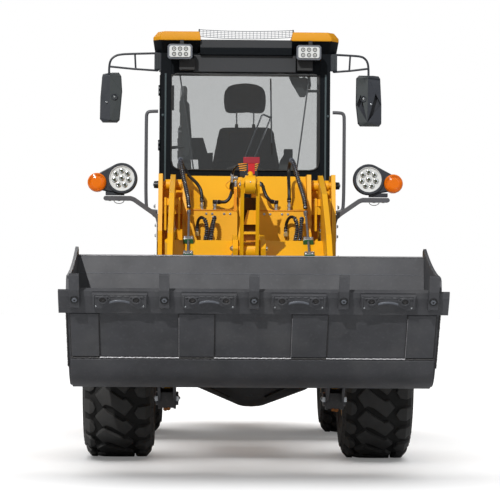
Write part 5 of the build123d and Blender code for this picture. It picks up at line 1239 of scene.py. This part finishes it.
seat_outline = [(-0.215, 0.82), (-0.19, 0.798), (0, 0.795), (0.19, 0.798), (0.215, 0.82), (0.222, 0.95),
                (0.222, 1.1), (0.215, 1.19), (0.18, 1.212), (0, 1.214), (-0.18, 1.212), (-0.215, 1.19), (-0.222, 1.1),
                (-0.222, 0.95)]
pad("seat_pad", seat_outline, level, (1.49, 1.384), 0.008, "seat_cushion",
    [((-0.12, 0.82), (-0.12, 1.18)), ((0.12, 0.82), (0.12, 1.18))])
stems = Shape()
for x in (-0.0426, 0.071):
    stems.tube([(x, 1.318, 2.16), (x, 1.312, 2.02)], 0.005, n=14)
    stems.round((x, 1.318, 2.03), (x, 1.318, 2.056), 0.0125, 0.01, n=20, m=1)
stems.done("headrest_stems", "rear", ["steel", "plastic"], "steel", smooth=40)

# ---------------------------------------------------------------- Loader centre
sign = Shape()
sign.box((-0.028, 0.008), (-1.327, -1.299), (1.576, 1.592), m=2)
sign.box((-0.0125, 0.0245), (-1.316, -1.31), (1.59, 1.655))
sign.box((-0.039, 0.051), (-1.318, -1.308), (1.65, 1.685), m=1)
sign.done("level_sign", "tilt_rod", ["red", "dark_red", "black"], "red", bevel=0.0015, replaces=["level_indicator"])
eye = Shape()
eye.round((-0.0285, -1.33, 1.533), (0.0285, -1.33, 1.533), 0.05, n=56)
eye.round((0, -1.33, 1.56), (0, -1.305, 1.6), 0.019, 0.014, n=24)
eye.round((0, -1.29, 1.532), (0, -1.222, 1.529), 0.034, 0.031, n=40)
eye.bolt((0, -1.378, 1.545), (0, -1, 0.2), 0.005, m=1, washer=False)
eye.done("rod_eye", "tilt_rod", ["yellow", "steel"], "yellow", bevel=0.003)

stripes = Shape()
for x0, x1 in ((-0.062, -0.012), (0.034, 0.058)):
    for k in range(7):
        a, b = 1.672 - k * 0.0062, 1.672 - (k + 1) * 0.0062
        inward, outward = (0.25, 0.02) if x0 < 0 else (0, 0.3)
        near_a, near_b = (x0 + (1.672 - z) * inward for z in (a, b))
        far_a, far_b = (x1 - (1.672 - z) * outward for z in (a, b))
        stripes.slab([(near_a, a), (far_a, a + 0.006), (far_b, b + 0.006), (near_b, b)], -0.87, -0.862, k % 2)
stripes.box((-0.05, 0.05), (-0.876, -0.85), (1.6, 1.632), m=1)
stripes.done("cylinder_stripes", "tilt_barrel", ["orange_paint_and_shade", "black"], "yellow", bevel=0.0008)

web = Shape()


def between(z0, z1, x0, x1, y0, y1, m, lean=0.0):
    """A plate between two heights whose lower right corner leans out."""
    web.prism([(x0 - lean, y0, z0), (x1, y0, z0), (x1, y1, z0), (x0 - lean, y1, z0)],
              [(x0, y0, z1), (x1, y0, z1), (x1, y1, z1), (x0, y1, z1)], m)


# Painted shade: between the rocker's sides, dark brown and darker orange plates stand for the shade in its recesses,
# with yellow shelves between them.
between(1.316, 1.396, -0.013, 0.0385, -1.235, -1.225, 0, lean=0.022)
between(1.396, 1.466, -0.0385, 0.0385, -1.205, -1.195, 1)
between(1.25, 1.4, -0.0385, 0.0385, -1.19, -1.18, 1)
between(1.262, 1.277, -0.0385, 0.0385, -1.245, -1.18, 0)
between(1.222, 1.262, -0.0385, 0.0385, -1.2, -1.19, 2)
for s in (-1, 1):
    web.bolt((s * 0.052, -1.33, 1.533), (s, 0, 0), 0.009, m=3)
    web.round((s * 0.0525, -1.13, 1.175), (s * 0.0545, -1.13, 1.175), 0.055, n=40)
web.done("rocker_web", "rocker", ["yellow", "recess_shade", "orange_paint_and_shade", "steel"], "yellow", bevel=0.002)

bits = Shape()
for s in (-1, 1):
    bits.bolt((s * 0.094, -1.148, 1.185), (s, -0.4, 0), 0.012)
    bits.bolt((s * 0.088, -1.16, 1.15), (s, -0.5, 0), 0.009)
    bits.round((s * 0.486, -0.252, 1.578), (s * 0.513, -0.252, 1.578), 0.018, 0.015, n=28, m=1)
    bits.round((s * 0.513, -0.252, 1.578), (s * 0.553, -0.252, 1.578), 0.0235, 0.021, n=28, m=1)
    bits.round((s * 0.553, -0.252, 1.578), (s * 0.558, -0.252, 1.578), 0.012, 0.009, n=28)
    bits.bolt((s * 0.513, -0.252, 1.538), (s, 0, 0), 0.009)
bits.done("loader_bolts", "boom", ["steel", "black"], "steel", bevel=0.001)

cheek = Shape()
for s in (-1, 1):
    low, high = 1.424, 1.626

    def on_slope(x, z, lift):
        """A point on the cover's sloping top, lifted off it."""
        y = -0.45 + (z - 1.42) * (0.35 / 0.218)
        return (s * x, y - lift * 0.5, z + lift)
    # Painted shade: a thin darker-yellow plate on each slope stands for the tower's inner side in shadow.
    cheek.prism([on_slope(0.268, low, 0.0005), on_slope(0.349, low, 0.0005), on_slope(0.302, high, 0.0005),
                 on_slope(0.272, high, 0.0005)],
                [on_slope(0.268, low, 0.005), on_slope(0.349, low, 0.005), on_slope(0.302, high, 0.005),
                 on_slope(0.272, high, 0.005)], 0)
    cheek.tube([on_slope(0.06, 1.4195, 0.002), on_slope(0.352, 1.4195, 0.002)], 0.0035, n=8, m=1)
    for x in (0.1, 0.135, 0.205, 0.24):
        cheek.bolt((s * x, -0.4505, 1.4), (0, -1, 0), 0.0055, m=2)
    # Painted shade: a dark brown slot on the slope.
    slot = [(0.246, 1.47), (0.256, 1.5), (0.253, 1.45), (0.244, 1.43)]
    cheek.prism([on_slope(x, z, 0.0008) for x, z in slot], [on_slope(x, z, 0.003) for x, z in slot], 3)
cheek.done("cover_details", "front", ["shade", "orange_paint_and_shade", "steel", "recess_shade"], "yellow", bevel=0.001)

cluster = Shape()
cluster.round((-0.083, -0.66, 1.6), (-0.06, -0.66, 1.6), 0.012, n=6)
cluster.round((-0.1, -0.66, 1.6), (-0.083, -0.66, 1.6), 0.008, n=16)
cluster.round((-0.092, -0.66, 1.575), (-0.092, -0.66, 1.625), 0.0095, n=6)
cluster.tube([(-0.092, -0.66, 1.62), (-0.08, -0.7, 1.655), (-0.06, -0.78, 1.668)], 0.0065, n=10, m=1)
cluster.tube([(-0.095, -0.66, 1.575), (-0.1, -0.62, 1.545), (-0.082, -0.55, 1.52)], 0.0085, n=10, m=1)
cluster.round((-0.0705, -0.7, 1.548), (-0.0705, -0.7, 1.585), 0.01, n=12)
loop = [(-0.098 - 0.03 * sin(pi * t / 14), -0.64, 1.59 - 0.06 * t / 14) for t in range(15)]
cluster.tube(loop, 0.0022, n=8, m=2)
for t in range(7):
    cluster.bolt((-0.0755 + 0.003 * (t % 2), -0.72, 1.53 - 0.018 * t), (0, -1, 0), 0.0035, m=3)
cluster.box((-0.082, -0.066), (-0.725, -0.705), (1.405, 1.535), m=2)
cluster.done("tilt_cluster", "tilt_barrel", ["steel", "rubber", "orange_paint_and_shade", "black"], "steel", smooth=40, bevel=0.0006)

# Boom ends on the bucket and the axle under the bucket
ends = Shape()
for s in (-1, 1):
    band = [(PIN_Y + r * cos(radians(t)), PIN_Z + r * sin(radians(t)))
            for r, turn in ((0.06, range(100, 191, 10)), (0.052, range(190, 99, -10))) for t in turn]
    ends.prism([(s * 0.4, y, z) for y, z in band], [(s * 0.476, y, z) for y, z in band])
    ends.box((s * 0.392, s * 0.484), (-1.912, -1.896), (0.338, 0.42))
    for x, z in ((0.43, 0.336), (0.446, 0.333)):
        ends.bolt((s * x, -1.905, z), (0, -1, -0.4), 0.009, m=1)
ends.done("boom_end_guards", "boom", ["edge", "rusty"], "grey", bevel=0.003)
profile = [(-0.6, 0.01), (-0.6, 0.072), (-0.285, 0.072), (-0.27, 0.078), (-0.05, 0.172), (-0.02, 0.179),
           (0.025, 0.181), (0.065, 0.178), (0.09, 0.173), (0.33, 0.084), (0.35, 0.072), (0.6, 0.072), (0.6, 0.01)]
for row, y, nose, pad_x in (("front", FRONT_Y, 1, 0.368), ("rear", REAR_Y, -1, 0.33)):
    axle = Shape()
    axle.revolve(profile, (0, y, AXLE_Z), n=72)
    face = y - nose * 0.14
    axle.round((0.02, y - nose * 0.08, AXLE_Z), (0.02, face, AXLE_Z), 0.124, 0.118, n=56)
    axle.round((0.02, face, AXLE_Z), (0.02, face - nose * 0.01, AXLE_Z), 0.092, 0.08, n=56)
    for t in range(12):
        angle = tau * t / 12
        axle.bolt((0.02 + 0.105 * cos(angle), face, AXLE_Z + 0.105 * sin(angle)), (0, -nose, 0), 0.008)
    axle.round((0.02, face - nose * 0.008, AXLE_Z - 0.05), (0.02, face - nose * 0.018, AXLE_Z - 0.05), 0.014, n=6,
               m=2)
    end, joint = Vector((0, y + nose * 0.33, AXLE_Z)), Vector((0, 0.35 - nose * 0.06, 0.65))
    axle.round((0, y, AXLE_Z), (0, y + nose * 0.25, AXLE_Z), 0.11, 0.085, n=48)
    axle.round((0, y + nose * 0.25, AXLE_Z), end, 0.08, 0.07, n=48)
    along = (joint - end).normalized()
    axle.round(end, end + along * 0.045, 0.055, 0.05, n=32, m=2)
    axle.round(end + along * 0.045, joint - along * 0.045, 0.03, n=32)
    axle.round(joint - along * 0.055, joint, 0.048, 0.052, n=32, m=2)
    for t in range(4):
        axle.bolt(end + along * 0.03 + Vector((0.042 * cos(tau * t / 4), 0, 0.042 * sin(tau * t / 4))), -along,
                  0.007, m=2)
    for s in (-1, 1):
        axle.box((s * (pad_x - 0.035), s * (pad_x + 0.035)), (y - 0.065, y + 0.065), (AXLE_Z, 0.5597))
        for u in (-0.045, 0.045):
            axle.bolt((s * (pad_x + 0.055), y + u, 0.54), (0, 0, 1), 0.012, m=2)
            axle.tube([(s * (pad_x - 0.045), y + u, 0.545), (s * (pad_x - 0.045), y + u, 0.42)], 0.009, n=10, m=2)
        axle.round((s * 0.55, y, AXLE_Z), (s * 0.598, y, AXLE_Z), 0.095, 0.12, n=48)
        axle.round((s * 0.598, y, AXLE_Z), (s * 0.76, y, AXLE_Z), 0.045, n=32, m=2)
        axle.tube([(s * 0.1, y - nose * 0.13, 0.345), (s * 0.3, y - nose * 0.12, 0.44),
                   (s * 0.52, y - nose * 0.1, 0.5)], 0.008, n=10, m=1)
    for v in axle.bm.verts:  # flat on top, clear of the rocker and link with the boom low
        if abs(v.co.x) < 0.25 and abs(v.co.y - y) < 0.2:
            v.co.z = min(v.co.z, 0.576)
    axle.done(f"{row}_axle_housing", row, ["dark", "rubber", "steel"], "black", bevel=0.003, replaces=[f"{row}_axle"])

# ---------------------------------------------------------------- Hood and rear
hood = Shape()
for s in (-1, 1):
    hood.box((s * 0.4395, s * 0.4425), (1.73, 2.33), (1.11, 1.48), m=1)
    for z in range(11):
        low = 1.125 + z * 0.032
        hood.prism([(s * 0.442, 1.74, low), (s * 0.442, 2.32, low), (s * 0.455, 2.32, low - 0.008),
                    (s * 0.455, 1.74, low - 0.008)],
                   [(s * 0.442, 1.74, low + 0.005), (s * 0.442, 2.32, low + 0.005), (s * 0.455, 2.32, low - 0.003),
                    (s * 0.455, 1.74, low - 0.003)])
    for y in (1.725, 2.028, 2.325):
        hood.box((s * 0.4395, s * 0.4475), (y, y + 0.012), (1.105, 1.488))
    for z in (1.099, 1.48):
        hood.box((s * 0.4395, s * 0.4475), (1.725, 2.337), (z, z + 0.012))
    hood.box((s * 0.4395, s * 0.4465), (2.372, 2.41), (1.06, 1.13), m=2)
    hood.box((s * 0.446, s * 0.456), (2.38, 2.402), (1.078, 1.112), m=3)
    hood.tube([(s * 0.4395, 1.7, 1.01), (s * 0.4395, 2.455, 1.01)], 0.006, n=8, m=2)
    for z in (1.2, 1.5):
        hood.round((s * 0.444, 1.668, z - 0.03), (s * 0.444, 1.668, z + 0.03), 0.01, n=16, m=2)
for z in range(8):
    hood.box((-0.33, 0.33), (2.4685, 2.4755), (1.052 + z * 0.053, 1.058 + z * 0.053))
for x in (-0.335, 0.328):
    hood.box((x, x + 0.008), (2.4685, 2.4765), (1.04, 1.452))
hood.box((-0.335, 0.336), (2.4685, 2.4765), (1.452, 1.46))
hood.box((-0.335, 0.336), (2.4685, 2.4765), (1.036, 1.044))
hood.box((-0.318, 0.318), (2.45, 2.453), (1.06, 1.44), m=1)
hood.box((-0.06, 0.06), (2.4695, 2.474), (1.49, 1.54), m=2)
hood.tube([(-0.04, 2.474, 1.508), (-0.034, 2.492, 1.508), (0.034, 2.492, 1.508), (0.04, 2.474, 1.508)], 0.006, n=10,
          m=3)
hood.round((0.18, 2.0, 1.558), (0.18, 2.0, 1.576), 0.05, n=40, m=2)
hood.round((0.18, 2.0, 1.576), (0.18, 2.0, 1.586), 0.044, 0.036, n=40, m=2)
hood.box((0.172, 0.188), (1.965, 2.035), (1.584, 1.598), m=2)
for x in (-0.18, 0.0, 0.18):
    hood.prism([(x - 0.03, 1.76, 1.559), (x + 0.03, 1.76, 1.559), (x + 0.03, 1.9, 1.559),
                (x - 0.03, 1.9, 1.559)],
               [(x - 0.024, 1.77, 1.563), (x + 0.024, 1.77, 1.563), (x + 0.024, 1.89, 1.563),
                (x - 0.024, 1.89, 1.563)])
hood.done("hood_details", "hood", ["yellow", "dark", "black", "steel"], "yellow", bevel=0.0015)

rear = Shape()
for s in (-1, 1):
    for x, m in ((0.42, 4), (0.375, 5)):
        rear.round((s * x, 2.583, 0.905), (s * x, 2.592, 0.905), 0.024, n=32, m=1)
        rear.round((s * x, 2.591, 0.905), (s * x, 2.602, 0.905), 0.02, 0.015, n=32, m=m)
    rear.box((s * 0.3, s * 0.35), (2.585, 2.59), (0.88, 0.93), m=4)
    for z in (0.56, 0.7):
        rear.bolt((s * 0.26, 2.586, z), (0, 1, 0), 0.02, m=2)
    for y in (2.36, 2.5):
        rear.round((s * 0.3, y, 0.975), (s * 0.3, y, 0.99), 0.022, n=24, m=1)
        rear.bolt((s * 0.481, y, 0.6), (s, 0, 0), 0.016, m=2)
    rear.tube([(s * 0.36, 2.42, 0.978), (s * 0.36, 2.42, 1.0), (s * 0.3, 2.42, 1.006), (s * 0.24, 2.42, 1.0),
               (s * 0.24, 2.42, 0.978)], 0.01, n=12, m=1)
    hook = [(s * 0.2, 2.586, 0.53), (s * 0.2, 2.6, 0.53), (s * 0.2, 2.604, 0.51), (s * 0.2, 2.586, 0.5)]
    rear.prism(hook, [(x - s * 0.05, y, z) for x, y, z in hook], 1)
rear.round((0, 2.44, 0.976), (0, 2.44, 1.006), 0.02, n=24, m=2)
rear.round((0, 2.44, 1.006), (0, 2.44, 1.014), 0.028, 0.022, n=24, m=2)
rear.tube([(0, 2.44 + 0.03 * cos(tau * t / 24), 1.03 + 0.022 * sin(tau * t / 24)) for t in range(24)], 0.004, n=8,
          m=2, closed=True)
rear.tube([(-0.46, 2.589, 0.955), (0.46, 2.589, 0.955)], 0.004, n=8)
# Exhaust: clamps, guard with slots and a rain cap
ex, ey = -0.4, 1.65
rear.ring((ex, ey - 0.008, 1.563), (ex, ey - 0.008, 1.578), 0.04, 0.0245, n=36, m=1)
for z in (1.722, 2.02):
    rear.ring((ex, ey, z), (ex, ey, z + 0.014), 0.0395, 0.034, n=36, m=2)
for k in range(9):
    for z in (1.755, 1.84, 1.925):
        t = tau * k / 9
        rear.round((ex + 0.035 * cos(t), ey + 0.035 * sin(t), z),
                   (ex + 0.037 * cos(t), ey + 0.037 * sin(t), z + 0.055), 0.006, n=8, m=3)
rear.ring((ex, ey, 2.052), (ex, ey, 2.066), 0.031, 0.0245, n=32, m=2)
rear.done("rear_details", "rear", ["orange_paint_and_shade", "black", "steel", "dark", "tail", "amber"], "black", bevel=0.002)

# Tanks, steps, fenders, frame bolts and door fittings
side_bits = Shape()
for s in (-1, 1):
    side_bits.round((s * 0.44, 0.64, 0.9), (s * 0.44, 0.64, 0.935), 0.03, n=28, m=1)
    side_bits.round((s * 0.44, 0.64, 0.93), (s * 0.44, 0.64, 0.955), 0.04, 0.036, n=12)
    for y in (0.6, 0.9):
        side_bits.box((s * 0.345, s * 0.6035), (y, y + 0.03), (0.898, 0.9035), m=2)
        side_bits.box((s * 0.6, s * 0.6035), (y, y + 0.03), (0.46, 0.9035), m=2)
        side_bits.bolt((s * 0.6035, y + 0.015, 0.52), (s, 0, 0), 0.008, m=3)
        side_bits.bolt((s * 0.6035, y + 0.015, 0.84), (s, 0, 0), 0.008, m=3)
    for z in (0.305, 0.505, 0.705):
        for k in range(9):
            y = 0.585 + k * 0.041
            side_bits.box((s * 0.665, s * 0.792), (y, y + 0.01), (z - 0.004, z + 0.002), m=3)
    lip = [(s * 0.9235, REAR_Y + 0.499 * cos(radians(t)), 0.5 + 0.51 * sin(radians(t))) for t in range(24, 157, 6)]
    side_bits.tube([p for p in lip if p[2] > 0.7], 0.007, n=8, m=1)
    side_bits.box((s * 0.56, s * 0.91), (1.996, 2.004), (0.56, 0.72), m=1)
    for x in (0.62, 0.74, 0.86):
        side_bits.bolt((s * x, 2.004, 0.705), (0, 1, 0), 0.007, m=3)
    for y in (1.28, 1.72):
        for x in (0.585, 0.66):
            side_bits.round((s * x, y, 1.014), (s * x, y, 1.024), 0.01, n=6, m=3)
    for y in (1.1, 1.24, 1.76, 1.9):
        side_bits.bolt((s * 0.34, y, 0.9), (s, 0, 0), 0.014, m=3)
        side_bits.bolt((s * 0.34, y, 0.52), (s, 0, 0), 0.014, m=3)
    side_bits.round((s * 0.09, 0.62, 1.034), (s * 0.115, 0.6, 1.05), 0.006, n=10, m=1)
    side_bits.prism([(s * 0.08, 0.5, 1.06), (s * 0.16, 0.5, 1.06), (s * 0.16, 0.6, 1.095),
                     (s * 0.08, 0.6, 1.095)],
                    [(s * 0.08, 0.496, 1.07), (s * 0.16, 0.496, 1.07), (s * 0.16, 0.596, 1.105),
                     (s * 0.08, 0.596, 1.105)], 0)
side_bits.tube([(-0.395, 0.86, 1.42), (-0.4, 0.855, 1.5), (-0.392, 0.85, 1.56)], 0.009, n=14)
side_bits.round((-0.392, 0.85, 1.555), (-0.39, 0.848, 1.61), 0.019, 0.024, n=24)
side_bits.tube([(-0.36, 0.96, 1.42), (-0.362, 0.95, 1.51)], 0.006, n=12, m=3)
side_bits.round((-0.362, 0.95, 1.505), (-0.362, 0.948, 1.54), 0.015, 0.012, n=20)
side_bits.done("rear_fittings", "rear", ["plastic", "black", "dark", "steel"], "black", bevel=0.0015)

front_bits = Shape()
for s in (-1, 1):
    lip = [(s * 0.9235, FRONT_Y + 0.499 * cos(radians(t)), 0.5 + 0.522 * sin(radians(t)))
           for t in range(24, 157, 6)]
    front_bits.tube([p for p in lip if p[2] > 0.785], 0.007, n=8)
    for y in (-1.02, -0.58):
        for x in (0.585, 0.66):
            front_bits.round((s * x, y, 1.014), (s * x, y, 1.024), 0.01, n=6, m=1)
    for y, z in ((-0.3, 0.9), (-0.3, 1.15), (-0.22, 1.45), (-0.16, 1.05)):
        front_bits.bolt((s * 0.544, y, z), (s, 0, 0), 0.011, m=1)
    front_bits.round((s * 0.34, -0.02, 0.6), (s * 0.352, -0.02, 0.6), 0.03, n=28, m=1)
front_bits.done("front_fittings", "front", ["black", "steel"], "black", bevel=0.0015)

for hand, s in (("left", 1), ("right", -1)):
    door = Shape()
    door.tube([(s * 0.5075, 0.534, 1.484), (s * 0.5075, 1.056, 1.484), (s * 0.5075, 1.056, 2.296),
               (s * 0.5075, 0.534, 2.296)], 0.006, n=8, m=1, closed=True)
    for z in (1.26, 1.9, 2.26):
        door.round((s * 0.551, 1.131, z - 0.035), (s * 0.551, 1.131, z + 0.035), 0.0095, n=16)
        door.box((s * 0.545, s * 0.5515), (1.08, 1.131), (z - 0.028, z + 0.028))
        for u in (-0.014, 0.014):
            door.bolt((s * 0.5515, 1.098, z + u), (s, 0, 0), 0.0055, m=2)
    door.box((s * 0.548, s * 0.553), (0.5, 0.585), (1.385, 1.45), m=1)
    door.tube([(s * 0.553, 0.515, 1.418), (s * 0.572, 0.52, 1.418), (s * 0.572, 0.565, 1.418),
               (s * 0.553, 0.57, 1.418)], 0.0065, n=10)
    door.round((s * 0.553, 0.592, 1.4), (s * 0.556, 0.592, 1.4), 0.009, n=20, m=2)
    door.box((s * 0.5485, s * 0.5515), (0.56, 1.05), (1.135, 1.345))
    door.done(f"door_fittings_{hand}", f"door_{hand}", ["cab", "rubber", "steel"], "black", bevel=0.002)

# ---------------------------------------------------------------- Floor, light and camera
def stage_material(name, colour, bounce, lit):
    """Pale stage: its own colour and a little light where a camera sees it, darker where it lights the object."""
    t = Tree(name)
    path = t.add("ShaderNodeLightPath").outputs
    seen = t.math("MAXIMUM", path["Is Camera Ray"], path["Is Transmission Ray"])
    t.link(t.mix(seen, bounce, colour), t.bsdf.inputs["Base Color"])
    own = t.math("MULTIPLY", seen, lit)
    t.bsdf.inputs["Roughness"].default_value = 1
    t.bsdf.inputs["Specular IOR Level"].default_value = 0
    t.bsdf.inputs["Emission Color"].default_value = (1, 1, 1, 1)
    t.link(own, t.bsdf.inputs["Emission Strength"])
    return t.mat


floor_shape = Shape()
floor_shape.faces([(-40, -40, 0), (40, -40, 0), (40, 60, 0), (-40, 60, 0)], [(0, 1, 2, 3)])
M["floor"] = stage_material("pale_floor", (0.75, 0.75, 0.75, 1), (0.46, 0.46, 0.46, 1), 0.16)
floor = floor_shape.done("floor", None, ["floor"], None)

WORLD_LIGHT = 0.24
world = bpy.data.worlds.new("studio")
bpy.context.scene.world = world
world.use_nodes = True
nodes, wire_up = world.node_tree.nodes, world.node_tree.links.new
background, path = nodes["Background"], nodes.new("ShaderNodeLightPath")
seen, strength = nodes.new("ShaderNodeMath"), nodes.new("ShaderNodeMapRange")
seen.operation = "MAXIMUM"
wire_up(path.outputs["Is Camera Ray"], seen.inputs[0])
wire_up(path.outputs["Is Transmission Ray"], seen.inputs[1])
strength.inputs["To Min"].default_value = WORLD_LIGHT
strength.inputs["To Max"].default_value = 1.0
wire_up(seen.outputs[0], strength.inputs["Value"])
wire_up(strength.outputs["Result"], background.inputs["Strength"])
background.inputs["Color"].default_value = (1, 1, 1, 1)


def lamp(name, kind, energy, place, target, size, colour=(1, 1, 1)):
    """A lamp aimed at a target; size is an area's width in metres or a sun's angle in degrees."""
    data = bpy.data.lights.new(name, kind)
    data.energy = energy
    data.color = colour
    if kind == "AREA":
        data.size = size
    else:
        data.angle = radians(size)
    obj = bpy.data.objects.new(name, data)
    obj.location = place
    obj.rotation_euler = (Vector(target) - Vector(place)).to_track_quat("-Z", "Y").to_euler()
    bpy.context.scene.collection.objects.link(obj)
    return obj


sun = lamp("key", "SUN", 2.9, (-2.67, -7.75, 5.74), (0, 0, 0), 0.8, (1.0, 0.985, 0.96))
lamp("fill", "AREA", 100, (4.5, -9.0, 5.5), (0, 0, 1.0), 6.0, (0.95, 0.97, 1.0))
lamp("back", "AREA", 300, (-3.5, 8.0, 6.5), (0, 0.5, 1.0), 6.0)
above = lamp("above", "SUN", 3.1, (0, 0, 7.0), (0, 0, 0), 68.0)
# The key lamp leaves the floor out and the wide one from above lights nothing else, so the shadow stays soft.
for light, state in ((sun, "EXCLUDE"), (above, "INCLUDE")):
    group = bpy.data.collections.new(light.name + "_lights")
    group.objects.link(floor)
    light.light_linking.receiver_collection = group
    group.collection_objects[0].light_linking.link_state = state

camera_data = bpy.data.cameras.new("camera")
camera_data.sensor_width, camera_data.lens = 36.0, 162.576
camera_data.clip_end = 200
camera = bpy.data.objects.new("camera", camera_data)
CAMERA_AT, HEADING, TILT, LEAN = (-0.24, -13.7, 0.966), radians(-1.116), radians(90.964), radians(0.4)
camera.matrix_world = (Matrix.Translation(CAMERA_AT) @ Matrix.Rotation(HEADING, 4, "Z")
                       @ Matrix.Rotation(TILT, 4, "X") @ Matrix.Rotation(LEAN, 4, "Z"))
bpy.context.scene.collection.objects.link(camera)
bpy.context.scene.camera = camera
bpy.context.scene.view_settings.view_transform = "Standard"
